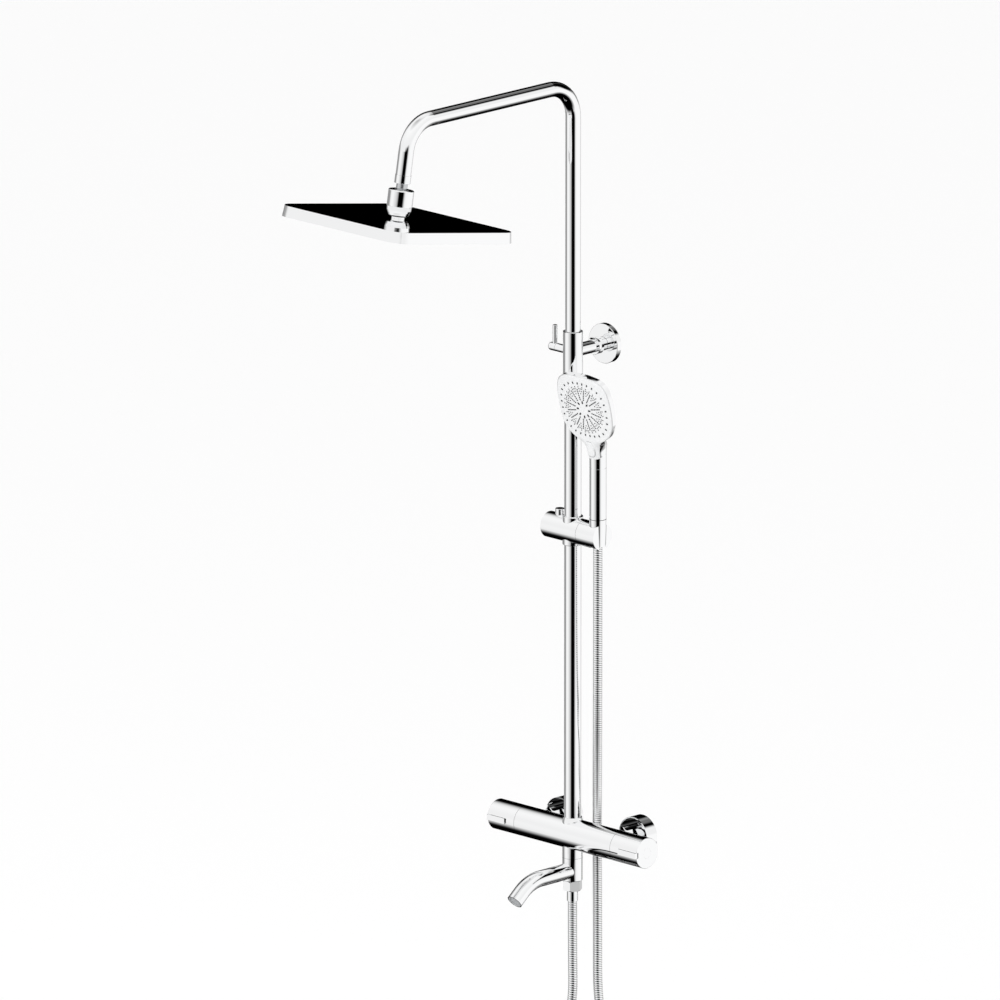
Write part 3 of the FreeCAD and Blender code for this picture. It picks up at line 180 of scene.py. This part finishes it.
def chromeMaterial(name, tone, rough, marks, grain):
    made, tree, surface = newMaterial(name, **{"Base Color": (*tone, 1), "Metallic": 1.0, "Roughness": rough})
    drops = useGroup(tree, waterMarks, Amount=marks)
    dulled = mapRange(tree, drops.outputs["Mask"], 0.0, 1.0, rough, rough + 0.22)
    link(tree, dulled, surface.inputs["Roughness"])
    polish = useGroup(tree, surfaceGrain, Size=55.0, Depth=grain)
    addBump(tree, surface, polish.outputs["Height"], 0.02, 0.0002)
    return made


def plasticMaterial(name, tone, rough, grainSize, coat=0.0):
    made, tree, surface = newMaterial(name, **{"Base Color": (*tone, 1), "Roughness": rough,
                                              "Coat Weight": coat, "Coat Roughness": 0.05})
    grain = useGroup(tree, surfaceGrain, Size=grainSize, Depth=1.0)
    shade = addNode(tree, "ShaderNodeMix", data_type="RGBA")
    shade.inputs[6].default_value = (*[channel * 0.955 for channel in tone], 1)
    shade.inputs[7].default_value = (*tone, 1)
    link(tree, mapRange(tree, grain.outputs["Height"], 0.35, 0.65, 0.0, 1.0), shade.inputs[0])
    link(tree, shade.outputs[2], surface.inputs["Base Color"])
    link(tree, mapRange(tree, grain.outputs["Height"], 0.3, 0.7, rough - 0.04, rough + 0.06),
         surface.inputs["Roughness"])
    addBump(tree, surface, grain.outputs["Height"], 0.08, 0.0002)
    return made


finishes = {
    "chrome": chromeMaterial("polishedChrome", (0.95, 0.953, 0.957), 0.012, 0.12, 0.35),
    "hoseChrome": chromeMaterial("hoseChrome", (0.92, 0.925, 0.93), 0.04, 0.1, 0.4),
    "turnedBrass": chromeMaterial("turnedBrass", (0.76, 0.58, 0.27), 0.22, 0.3, 1.0),
    "zincSteel": chromeMaterial("zincSteel", (0.62, 0.63, 0.64), 0.26, 0.3, 1.0),
    "whitePlastic": plasticMaterial("whitePlastic", (0.70, 0.705, 0.71), 0.32, 320.0, 0.1),
    "greyPlastic": plasticMaterial("greyPlastic", (0.42, 0.43, 0.44), 0.34, 380.0, 0.2),
    # painted shade: grey for the thin ring laid round the mode button
    "paintedSeamShade": plasticMaterial("paintedSeamShade", (0.34, 0.345, 0.35), 0.5, 320.0),
    "nozzleGrey": plasticMaterial("nozzleGrey", (0.022, 0.023, 0.025), 0.5, 500.0),
    "greySilicone": plasticMaterial("greySilicone", (0.22, 0.225, 0.23), 0.5, 500.0),
    "blackRubber": plasticMaterial("blackRubber", (0.02, 0.02, 0.021), 0.55, 450.0),
}
slotFinish = {"chrome": "chrome", "hose_steel": "hoseChrome", "brass": "turnedBrass", "steel": "zincSteel",
              "white_plastic": "whitePlastic", "grey_silicone": "greySilicone",
              "grey_plastic": "greyPlastic", "black_rubber": "blackRubber"}
slotOf = {part["node"]: part["material_slot"] for part in frame["record"]["subparts"]}
for name, thing in nodes.items():
    thing.data.materials.clear()
    thing.data.materials.append(finishes[slotFinish[slotOf[name]]])
print("finishes made")


def addObject(name, mesh, finish, body):
    thing = bpy.data.objects.new(name, mesh)
    bpy.context.scene.collection.objects.link(thing)
    mesh.materials.clear()
    mesh.materials.append(finishes[finish])
    if body:
        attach(thing, body)
    return thing


# the hose is coiled steel strip round a smooth route, in millimetres
hose = {
    "route": [(51, -70, 481), (51, -70, 352), (43, -62, 216), (24, -43, 96), (16, -35, -20), (19, -37, -145),
              (20, -38, -258), (45, -42, -322), (90, -45, -375), (92, -49, -444), (44, -52, -494),
              (-24, -56, -494), (-72, -59, -444), (-70, -63, -375), (-25, -66, -322), (1, -69, -258),
              (0, -70, -172), (0, -70, -82)],
    "radius": 6.95, "pitch": 3.4, "grooveDepth": 0.85, "grooveShare": 0.5, "crown": 0.12,
    "stepsPerTurn": 7, "around": 20, "length": 1.51, "exit": (51, -70, 481),
}


def smoothRoute(points):
    curve = bpy.data.curves.new("hoseRoute", "CURVE")
    curve.dimensions = "3D"
    curve.resolution_u = 40
    spline = curve.splines.new("NURBS")
    spline.points.add(len(points) - 1)
    for point, place in zip(spline.points, points):
        point.co = (*[value * mm for value in place], 1)
    spline.order_u = 3
    spline.use_endpoint_u = True
    holder = bpy.data.objects.new("hoseRoute", curve)
    line = bpy.data.meshes.new_from_object(holder)
    spots = [vertex.co.copy() for vertex in line.vertices]
    bpy.data.objects.remove(holder)
    bpy.data.meshes.remove(line)
    return spots


def evenSpots(spots, step):
    made = [spots[0].copy()]
    left = step
    for start, end in zip(spots, spots[1:]):
        length = (end - start).length
        travelled = 0.0
        while length - travelled >= left:
            travelled += left
            made.append(start.lerp(end, travelled / length))
            left = step
        left -= length - travelled
    return made


def tubeFrames(spots):
    # a frame at each spot that turns no more than the route does
    side = Vector((0, 1, 0))
    frames = []
    for index, spot in enumerate(spots):
        ahead = (spots[min(index + 1, len(spots) - 1)] - spots[max(index - 1, 0)]).normalized()
        side = (side - ahead * side.dot(ahead)).normalized()
        frames.append((spot, side, ahead.cross(side)))
    return frames


def gridFaces(rows, around, wrapped=False):
    return [(row * around + step, row * around + (step + 1) % around,
             (row + 1) % rows * around + (step + 1) % around, (row + 1) % rows * around + step)
            for row in range(rows if wrapped else rows - 1) for step in range(around)]


def endFaces(rows, around):
    return [tuple(reversed(range(around))), tuple(range((rows - 1) * around, rows * around))]


def ringMesh(name, frames, radiusAt, around):
    places = []
    for row, (spot, side, up) in enumerate(frames):
        for column in range(around):
            angle = 2 * math.pi * column / around
            places.append(spot + (side * math.cos(angle) + up * math.sin(angle)) * radiusAt(row, angle))
    mesh = bpy.data.meshes.new(name)
    mesh.from_pydata(places, [], gridFaces(len(frames), around) + endFaces(len(frames), around))
    mesh.polygons.foreach_set("use_smooth", [True] * len(mesh.polygons))
    mesh.update()
    return mesh


def makeHose(spec):
    route = smoothRoute(spec["route"])
    step = spec["pitch"] / spec["stepsPerTurn"] * mm
    spots = evenSpots(route, step)
    print("hose spots:", len(spots))

    def radiusAt(row, angle):
        turn = (row / spec["stepsPerTurn"] + angle / (2 * math.pi)) % 1
        away = abs(turn - 0.5) * 2 / spec["grooveShare"]
        groove = 0.5 + 0.5 * math.cos(math.pi * min(1, away))
        crown = spec["crown"] * math.sin(math.pi * turn) ** 2
        return (spec["radius"] - spec["grooveDepth"] * groove - spec["crown"] + crown) * mm

    mesh = ringMesh("showerHose", tubeFrames(spots), radiusAt, spec["around"])
    thing = addObject("showerHose", mesh, "hoseChrome", None)
    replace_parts(thing, "shower_hose")
    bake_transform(thing)
    [tuple(spot) for spot in route]


makeHose(hose)
print("hose made")


# hand shower: chromed shell and handle, domed white face whose neck wraps the handle, grey nozzles
handset = {
    "origin": (51, -100, 654), "lean": 12.6, "axisBack": 30,
    "outline": [(10, 49.5), (18, 49.3), (25, 48.6), (31, 47.5), (36.2, 45.8), (40, 43.8), (43.5, 40.8),
                (46.3, 37), (48.3, 33), (49.8, 28), (51.2, 22), (52.2, 16), (52.6, 10), (52.6, 4),
                (52.6, -2),
                (52.4, -8), (51.8, -14), (50.8, -20), (49.3, -25), (47.2, -30), (44.4, -34.5), (41, -38.5),
                (37.2, -41.8), (33, -44.8), (28, -47.8), (23.5, -50.6), (19.8, -53.5), (17, -57), (14.9, -61),
                (13.6, -65), (12.7, -68.5), (12.3, -72), (12.1, -76), (11.6, -79), (10.4, -80.6), (8.5, -81.2)],
    "neckStarts": -47, "neckEnds": -66, "sideDrop": 2.6, "topDrop": 1.4, "neckDrop": 7.0,
    "faceThick": 2.4, "edgeRound": 1.3, "rim": 0.85, "rimRecess": 1.4, "sideDepth": (4.6, 7.6),
    "halfWidth": 52.6, "top": 49.5, "bottom": -81.2, "shellBottom": -79, "domeFrom": 5, "domeReach": 44.5,
    "neckBend": 0.93, "neckRound": 12.4, "columns": 30, "handleAxis": (51, -70), "handleRadius": 12.5,
    "handleBottom": 484.4, "handleTop": 596, "seam": 561, "slots": 8, "slotReach": 11.5, "rows": 16,
    "rowReach": (17, 20.2, 23.4, 26.6, 29.8, 33),
    "fan": ((27, 0), (31, -0.06), (31, 0.06), (35, -0.09), (35, 0), (35, 0.09), (38, -0.1), (38, 0.1)),
    "rise": 0.6, "squash": 0.95, "centreDrop": 1, "outerMarks": 28, "outerReach": (44.5, 41),
    "outerPower": 2.6,
    "pipSides": 10, "pipTaper": 0.72, "pipRoot": -0.9, "pipHalf": 52,
}


def smoothStep(low, high, value):
    share = min(1.0, max(0.0, (value - low) / (high - low)))
    return share * share * (3 - 2 * share)


def mixed(first, second, share):
    return first + (second - first) * share


def facePlace(spec, across, along, forward):
    lean = math.radians(spec["lean"])
    origin = spec["origin"]
    return Vector((origin[0] + across,
                   origin[1] - along * math.sin(lean) - forward * math.cos(lean),
                   origin[2] + along * math.cos(lean) - forward * math.sin(lean))) * mm


def refined(points, parts):
    made = []
    for index in range(len(points) - 1):
        before = points[max(index - 1, 0)]
        start, end = points[index], points[index + 1]
        after = points[min(index + 2, len(points) - 1)]
        for part in range(parts):
            share = part / parts
            made.append(tuple(0.5 * (2 * b + (c - a) * share + (2 * a - 5 * b + 4 * c - d) * share ** 2
                                     + (3 * b - a - 3 * c + d) * share ** 3)
                              for a, b, c, d in zip(before, start, end, after)))
    made.append(points[-1])
    return made


def neckShare(spec, along):
    return smoothStep(spec["neckStarts"], spec["neckEnds"], along)


def frontHeight(spec, across, along, half):
    share = abs(across) / half
    dome = max(0, (along - spec["domeFrom"]) / spec["domeReach"])
    flat = -spec["sideDrop"] * (abs(across) / spec["halfWidth"]) ** 3 - spec["topDrop"] * dome ** 3
    bend = spec["neckBend"]
    bent = -spec["neckDrop"] * (1 - math.sqrt(1 - (bend * share) ** 2)) / (1 - math.sqrt(1 - bend ** 2))
    return mixed(flat, bent, neckShare(spec, along))


def roundedDrop(distance, radius):
    if distance >= radius:
        return 0.0
    return radius - math.sqrt(max(0.0, radius ** 2 - (radius - distance) ** 2))


def tidyMesh(mesh, sharp=35):
    work = bmesh.new()
    work.from_mesh(mesh)
    bmesh.ops.remove_doubles(work, verts=work.verts, dist=1e-7)
    bmesh.ops.dissolve_degenerate(work, edges=work.edges, dist=1e-7)
    bmesh.ops.recalc_face_normals(work, faces=work.faces)
    for edge in work.edges:
        edge.smooth = len(edge.link_faces) == 2 and edge.calc_face_angle(0) < math.radians(sharp)
    for face in work.faces:
        face.smooth = True
    work.to_mesh(mesh)
    work.free()
    mesh.update()


def loftSolid(name, rows, columns, front, back):
    shares = [math.sin(math.pi / 2 * (2 * column / columns - 1)) for column in range(columns + 1)]
    places = []
    for half, along in rows:
        ring = [front(half * share, along, half) for share in shares]
        ring += [back(half * share, along, half) for share in reversed(shares)]
        places += ring
    around = 2 * (columns + 1)
    faces = gridFaces(len(rows), around)
    for row, turned in ((0, True), (len(rows) - 1, False)):
        base = row * around
        for column in range(columns):
            quad = (base + column, base + column + 1, base + around - 2 - column, base + around - 1 - column)
            faces.append(tuple(reversed(quad)) if turned else quad)
    mesh = bpy.data.meshes.new(name)
    mesh.from_pydata(places, [], faces)
    tidyMesh(mesh)
    return mesh


def turnedMesh(name, profile, centre, around=64):
    places = []
    for radius, height in profile:
        for step in range(around):
            angle = 2 * math.pi * step / around
            places.append(Vector((centre[0] + radius * math.cos(angle), centre[1] + radius * math.sin(angle),
                                  height)) * mm)
    mesh = bpy.data.meshes.new(name)
    mesh.from_pydata(places, [], gridFaces(len(profile), around) + endFaces(len(profile), around))
    tidyMesh(mesh)
    return mesh


def makeFace(spec, rows):
    def front(across, along, half):
        edge = min(half - abs(across), spec["top"] - along + 0.05, along - spec["bottom"] + 0.05)
        drop = roundedDrop(max(0, edge), spec["edgeRound"])
        return facePlace(spec, across, along, frontHeight(spec, across, along, half) - drop)

    def back(across, along, half):
        return facePlace(spec, across, along, frontHeight(spec, across, along, half) - spec["faceThick"])

    mesh = loftSolid("handsetFace", rows, spec["columns"], front, back)
    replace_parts(addObject("handsetFace", mesh, "whitePlastic", "handset"), "handset_face")


def makeHandle(spec):
    radius, bottom, top, seam = spec["handleRadius"], spec["handleBottom"], spec["handleTop"], spec["seam"]
    return turnedMesh("handsetHandle", [
        (radius - 1.6, bottom), (radius - 0.5, bottom), (radius, bottom + 0.5), (radius, seam - 0.25),
        (radius - 0.45, seam - 0.1), (radius - 0.45, seam + 0.5), (radius, seam + 0.65), (radius, top - 12),
        (radius - 1, top - 6), (radius - 4, top - 1.5), (radius - 9, top)], spec["handleAxis"])


def makeShell(spec, rows):
    lean = math.radians(spec["lean"])
    shellRows = [(half + spec["rim"], along + spec["rim"] * (1 if along > 0 else 0)) for half, along in rows
                 if along > spec["shellBottom"]]

    def front(across, along, half):
        return facePlace(spec, across, along, frontHeight(spec, across, along, half) - spec["rimRecess"])

    def back(across, along, half):
        level = (along + spec["axisBack"] * math.sin(lean)) / math.cos(lean)
        axis = -spec["axisBack"] * math.cos(lean) - level * math.sin(lean)
        depth = mixed(*spec["sideDepth"], smoothStep(-30, -4, along))
        edge = -spec["sideDrop"] - spec["rimRecess"] - depth
        share = min(1.0, abs(across) / half)
        bulge = mixed(2.0, 13.0, smoothStep(52, -36, along)) * (1 - share ** 2.2) ** 0.8
        handleDrop = spec["neckRound"] * math.sqrt(max(0.0, 1 - share ** 2))
        return facePlace(spec, across, along, mixed(edge - bulge, axis - handleDrop, neckShare(spec, along)))

    shell = loftSolid("handsetShell", shellRows, spec["columns"], front, back)
    handle = makeHandle(spec)
    joined = bmesh.new()
    joined.from_mesh(shell)
    joined.from_mesh(handle)
    joined.to_mesh(shell)
    joined.free()
    bpy.data.meshes.remove(handle)
    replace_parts(addObject("handsetShell", shell, "chrome", "handset"), "handset_body")


def makeNozzles(spec):
    nozzles = bmesh.new()
    sides = spec["pipSides"]

    def addPip(across, along, length, width, angle, rise=spec["rise"]):
        base = []
        tip = []
        for step in range(sides):
            turn = 2 * math.pi * step / sides
            for ring, scale, lift in ((base, 1.0, spec["pipRoot"]), (tip, spec["pipTaper"], rise)):
                x = math.cos(turn) * length / 2 * scale
                y = math.sin(turn) * width / 2 * scale
                u = across + x * math.cos(angle) - y * math.sin(angle)
                v = along + x * math.sin(angle) + y * math.cos(angle)
                height = frontHeight(spec, u, v, spec["pipHalf"])
                ring.append(nozzles.verts.new(facePlace(spec, u, v, height + lift)))
        for step in range(sides):
            ahead = (step + 1) % sides
            nozzles.faces.new((base[step], base[ahead], tip[ahead], tip[step]))
        nozzles.faces.new(tip)
        nozzles.faces.new(tuple(reversed(base)))

    def addSpoke(reach, turn, squash, length, width, angle, **more):
        addPip(reach * math.cos(turn), reach * squash * math.sin(turn) - spec["centreDrop"], length, width,
               angle, **more)

    for index in range(spec["slots"]):
        angle = 2 * math.pi * index / spec["slots"]
        addSpoke(spec["slotReach"], angle, 1, 6.4, 3.4, angle, rise=0.5)
    for index in range(spec["rows"]):
        angle = 2 * math.pi * (index + 0.5) / spec["rows"]
        for reach in spec["rowReach"]:
            addSpoke(reach, angle, spec["squash"], 3.0, 2.2, angle)
        between = angle + math.pi / spec["rows"]
        for reach, turn in spec["fan"]:
            addSpoke(reach, between + turn, spec["squash"], 2.1, 1.8, between)
    power = spec["outerPower"]
    wide, high = spec["outerReach"]
    for index in range(spec["outerMarks"]):
        angle = 2 * math.pi * (index + 0.5) / spec["outerMarks"]
        reach = (abs(math.cos(angle) / wide) ** power + abs(math.sin(angle) / high) ** power) ** (-1 / power)
        addSpoke(reach, angle, 1, 4.6, 2.7, angle)
    bmesh.ops.recalc_face_normals(nozzles, faces=nozzles.faces)
    mesh = bpy.data.meshes.new("handsetNozzles")
    nozzles.to_mesh(mesh)
    nozzles.free()
    thing = addObject("handsetNozzles", mesh, "nozzleGrey", "handset")
    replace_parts(thing, "handset_nozzles")


def makeHandset(spec):
    rows = refined(spec["outline"], 3)
    makeFace(spec, rows)
    makeShell(spec, rows)
    makeNozzles(spec)


# a rounded square ring on the neck, this much wider than the button or this share of its reach
def buttonRing(spec, button, around, lift, wider=0.0, reach=1.0):
    places = []
    for step in range(around):
        turn = 2 * math.pi * step / around
        ahead, side = math.cos(turn), math.sin(turn)
        far = (abs(ahead) ** 4 + abs(side) ** 4) ** -0.25 * reach
        across = (button["width"] / 2 + wider) * far * ahead
        along = button["centre"] + (button["height"] / 2 + wider) * far * side
        height = frontHeight(spec, across, along, button["neckHalf"])
        places.append(facePlace(spec, across, along, height + lift))
    return places


def makeModeButton(spec, button):
    around = button["around"]
    places = []
    for reach in button["rings"]:
        lift = button["rise"] - roundedDrop(max(0.0, (1 - reach) * 8), 1.0)
        places += buttonRing(spec, button, around, lift, reach=reach)
    places += buttonRing(spec, button, around, button["root"])
    count = len(button["rings"]) + 1
    mesh = bpy.data.meshes.new("modeButton")
    mesh.from_pydata(places, [], gridFaces(count, around) + endFaces(count, around))
    tidyMesh(mesh, 50)
    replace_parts(addObject("modeButton", mesh, "whitePlastic", "spray_mode"), "mode_button")


# a thin grey ring sheet laid on the neck round the mode button: painted shade standing in for the shadow in the
# gap round the button
def makeModeSeamShade(spec, button):
    around = button["seamAround"]
    places = []
    for wider, lift in button["seamRings"]:
        places += buttonRing(spec, button, around, lift, wider=wider)
    mesh = bpy.data.meshes.new("modeSeamShade")
    mesh.from_pydata(places, [], gridFaces(len(button["seamRings"]), around, True))
    tidyMesh(mesh)
    addObject("modeSeamShade", mesh, "paintedSeamShade", "handset")


modeButton = {"width": 14.5, "height": 23, "centre": -64.5, "rise": 0.9, "root": -0.6, "neckHalf": 13.5,
              "rings": (0.12, 0.35, 0.6, 0.8, 0.9, 0.95, 0.98, 1.0), "around": 40, "seamAround": 48,
              "seamRings": ((0.1, -0.3), (0.15, 0.12), (0.75, 0.12), (0.8, -0.3))}
makeHandset(handset)
makeModeButton(handset, modeButton)
makeModeSeamShade(handset, modeButton)
print("hand shower made")


# pale floor and even light, with softboxes and dark flags that only polished surfaces see
studio = {
    "floorHeight": -1.2, "floorSize": 120, "fill": 1.0, "sideSlope": 0.45, "lampPower": 60, "lampSize": 2.5,
    "lampPlace": (1.2, -3.2, 2.6), "lampAim": (0, -0.1, 0.5), "gamma": 2.2,
    "band": [(-180, 0.93), (-160, 0.75), (-148, 0.56), (-125, 0.54), (-108, 0.62), (-98, 0.92), (-88, 0.97),
             (-70, 0.99), (-54, 0.92), (-40, 0.82), (-30, 0.70), (-23, 0.52), (-17, 0.08), (-12, 0.0),
             (14, 0.0), (19, 0.06), (26, 0.55), (35, 0.90), (46, 0.98), (70, 1.0), (125, 1.0), (148, 0.80),
             (165, 0.72), (180, 0.93)],
    "behindAbove": [(-90, 0.0), (36, 0.0), (40, 0.45), (48, 0.9), (62, 1.0), (80, 0.9), (90, 0.7)],
    "flankAbove": [(-90, 0.0), (44, 0.0), (49, 0.6), (56, 0.95), (80, 0.95), (90, 0.7)],
    "besideAbove": [(-90, 0.95), (20, 0.96), (55, 1.0), (90, 0.7)],
    "behindBelow": [(-90, 0.0), (-31, 0.0), (-28, 0.3), (90, 0.5)],
    "besideBelow": [(-90, 0.0), (-50, 0.0), (-46, 0.04), (-43, 0.25), (-38, 0.6), (-30, 0.85), (90, 0.85)],
    "black": [(-180, 0.0), (180, 0.0)],
}


def levelRamp(tree, source, low, high, stops):
    ramp = tree.nodes.new("ShaderNodeValToRGB")
    ramp.color_ramp.interpolation = "LINEAR"
    elements = ramp.color_ramp.elements
    while len(elements) > 1:
        elements.remove(elements[-1])
    for index, (angle, level) in enumerate(stops):
        place = (angle - low) / (high - low)
        element = elements[0] if index == 0 else elements.new(place)
        element.position = place
        element.color = (*[level ** studio["gamma"]] * 3, 1)
    node = addNode(tree, "ShaderNodeMapRange")
    for socket, value in zip(node.inputs[1:5], (low, high, 0.0, 1.0)):
        socket.default_value = value
    link(tree, source, node.inputs[0])
    link(tree, node.outputs[0], ramp.inputs[0])
    return ramp.outputs[0]


def mixLevel(tree, share, first, second):
    node = addNode(tree, "ShaderNodeMix", data_type="RGBA")
    link(tree, share, node.inputs[0])
    link(tree, first, node.inputs[6])
    link(tree, second, node.inputs[7])
    return node.outputs[2]


def flatLevel(tree):
    shade = tree.nodes.new("ShaderNodeRGB")
    shade.outputs[0].default_value = (1, 1, 1, 1)
    return shade.outputs[0]


def makeStudio(spec, back):
    world = bpy.data.worlds.new("studioWorld")
    world.use_nodes = True
    bpy.context.scene.world = world
    tree = world.node_tree
    tree.nodes.clear()
    flat = Vector((back[0], back[1], 0)).normalized()
    right = Vector((-flat.y, flat.x, 0))
    place = tree.nodes.new("ShaderNodeTexCoord")

    def along(direction):
        node = addNode(tree, "ShaderNodeVectorMath", operation="DOT_PRODUCT")
        link(tree, place.outputs["Generated"], node.inputs[0])
        node.inputs[1].default_value = direction
        return node.outputs["Value"]

    toCamera = along(flat)
    toRight = along(right)
    upward = along((0, 0, 1))
    turn = mathNode(tree, "MULTIPLY", mathNode(tree, "ARCTAN2", toRight, toCamera), 180 / math.pi)
    rise = mathNode(tree, "MULTIPLY", mathNode(tree, "ARCSINE", upward), 180 / math.pi)
    band = levelRamp(tree, turn, -180, 180, spec["band"])
    behind = mapRange(tree, mathNode(tree, "ABSOLUTE", turn), 115, 160, 0.0, 1.0)
    flank = mathNode(tree, "MULTIPLY", mapRange(tree, turn, 97, 108, 0.0, 1.0),
                     mapRange(tree, turn, 140, 165, 1.0, 0.0))
    above = mixLevel(tree, behind, levelRamp(tree, rise, -90, 90, spec["besideAbove"]),
                     levelRamp(tree, rise, -90, 90, spec["behindAbove"]))
    above = mixLevel(tree, flank, above, levelRamp(tree, rise, -90, 90, spec["flankAbove"]))
    below = mixLevel(tree, behind, levelRamp(tree, rise, -90, 90, spec["besideBelow"]),
                     levelRamp(tree, rise, -90, 90, spec["behindBelow"]))
    isAbove = mixLevel(tree, behind, mapRange(tree, rise, 0, 10, 0.0, 1.0),
                       mapRange(tree, rise, -9, -4, 0.0, 1.0))
    isBelow = mapRange(tree, rise, -31, -27, 1.0, 0.0)
    level = mixLevel(tree, isBelow, mixLevel(tree, isAbove, band, above), below)
    ahead = mathNode(tree, "MULTIPLY", mapRange(tree, turn, -24, -16, 0.0, 1.0),
                     mapRange(tree, turn, 16, 26, 1.0, 0.0))
    ahead = mathNode(tree, "MULTIPLY", ahead, mapRange(tree, rise, 4, 14, 1.0, 0.0))
    level = mixLevel(tree, ahead, level, levelRamp(tree, turn, -180, 180, spec["black"]))
    shown = addNode(tree, "ShaderNodeBackground", Strength=1.0)
    link(tree, level, shown.inputs["Color"])
    even = addNode(tree, "ShaderNodeBackground", Color=(1, 1, 1, 1), Strength=spec["fill"])
    rays = tree.nodes.new("ShaderNodeLightPath")
    slope = mathNode(tree, "ADD", mathNode(tree, "MULTIPLY", toRight, -spec["sideSlope"]), spec["fill"])
    link(tree, mixLevel(tree, rays.outputs["Is Camera Ray"], slope, flatLevel(tree)), even.inputs["Color"])
    chosen = tree.nodes.new("ShaderNodeMixShader")
    link(tree, rays.outputs["Is Glossy Ray"], chosen.inputs[0])
    link(tree, even.outputs[0], chosen.inputs[1])
    link(tree, shown.outputs[0], chosen.inputs[2])
    output = tree.nodes.new("ShaderNodeOutputWorld")
    link(tree, chosen.outputs[0], output.inputs["Surface"])


def makeFloor(spec):
    half, height = spec["floorSize"] / 2, spec["floorHeight"]
    mesh = bpy.data.meshes.new("studioFloor")
    mesh.from_pydata([(-half, -half, height), (half, -half, height), (half, half, height),
                      (-half, half, height)], [], [(0, 1, 2, 3)])
    holder = bpy.data.objects.new("studioFloor", mesh)
    bpy.context.scene.collection.objects.link(holder)
    paint = newMaterial("paleFloor", **{"Base Color": (0.97, 0.97, 0.97, 1), "Roughness": 0.9})[0]
    mesh.materials.append(paint)
    holder.visible_glossy = False


def makeLamp(spec):
    lamp = bpy.data.lights.new("keySoftbox", "AREA")
    lamp.energy = spec["lampPower"]
    lamp.size = spec["lampSize"]
    holder = bpy.data.objects.new("keySoftbox", lamp)
    holder.location = spec["lampPlace"]
    holder.rotation_mode = "QUATERNION"
    aim = Vector(spec["lampAim"]) - Vector(spec["lampPlace"])
    holder.rotation_quaternion = aim.to_track_quat("-Z", "Y")
    holder.visible_glossy = False
    bpy.context.scene.collection.objects.link(holder)


makeStudio(studio, camera["back"])
makeFloor(studio)
makeLamp(studio)
bpy.context.scene.view_settings.view_transform = "Standard"
print("studio made")
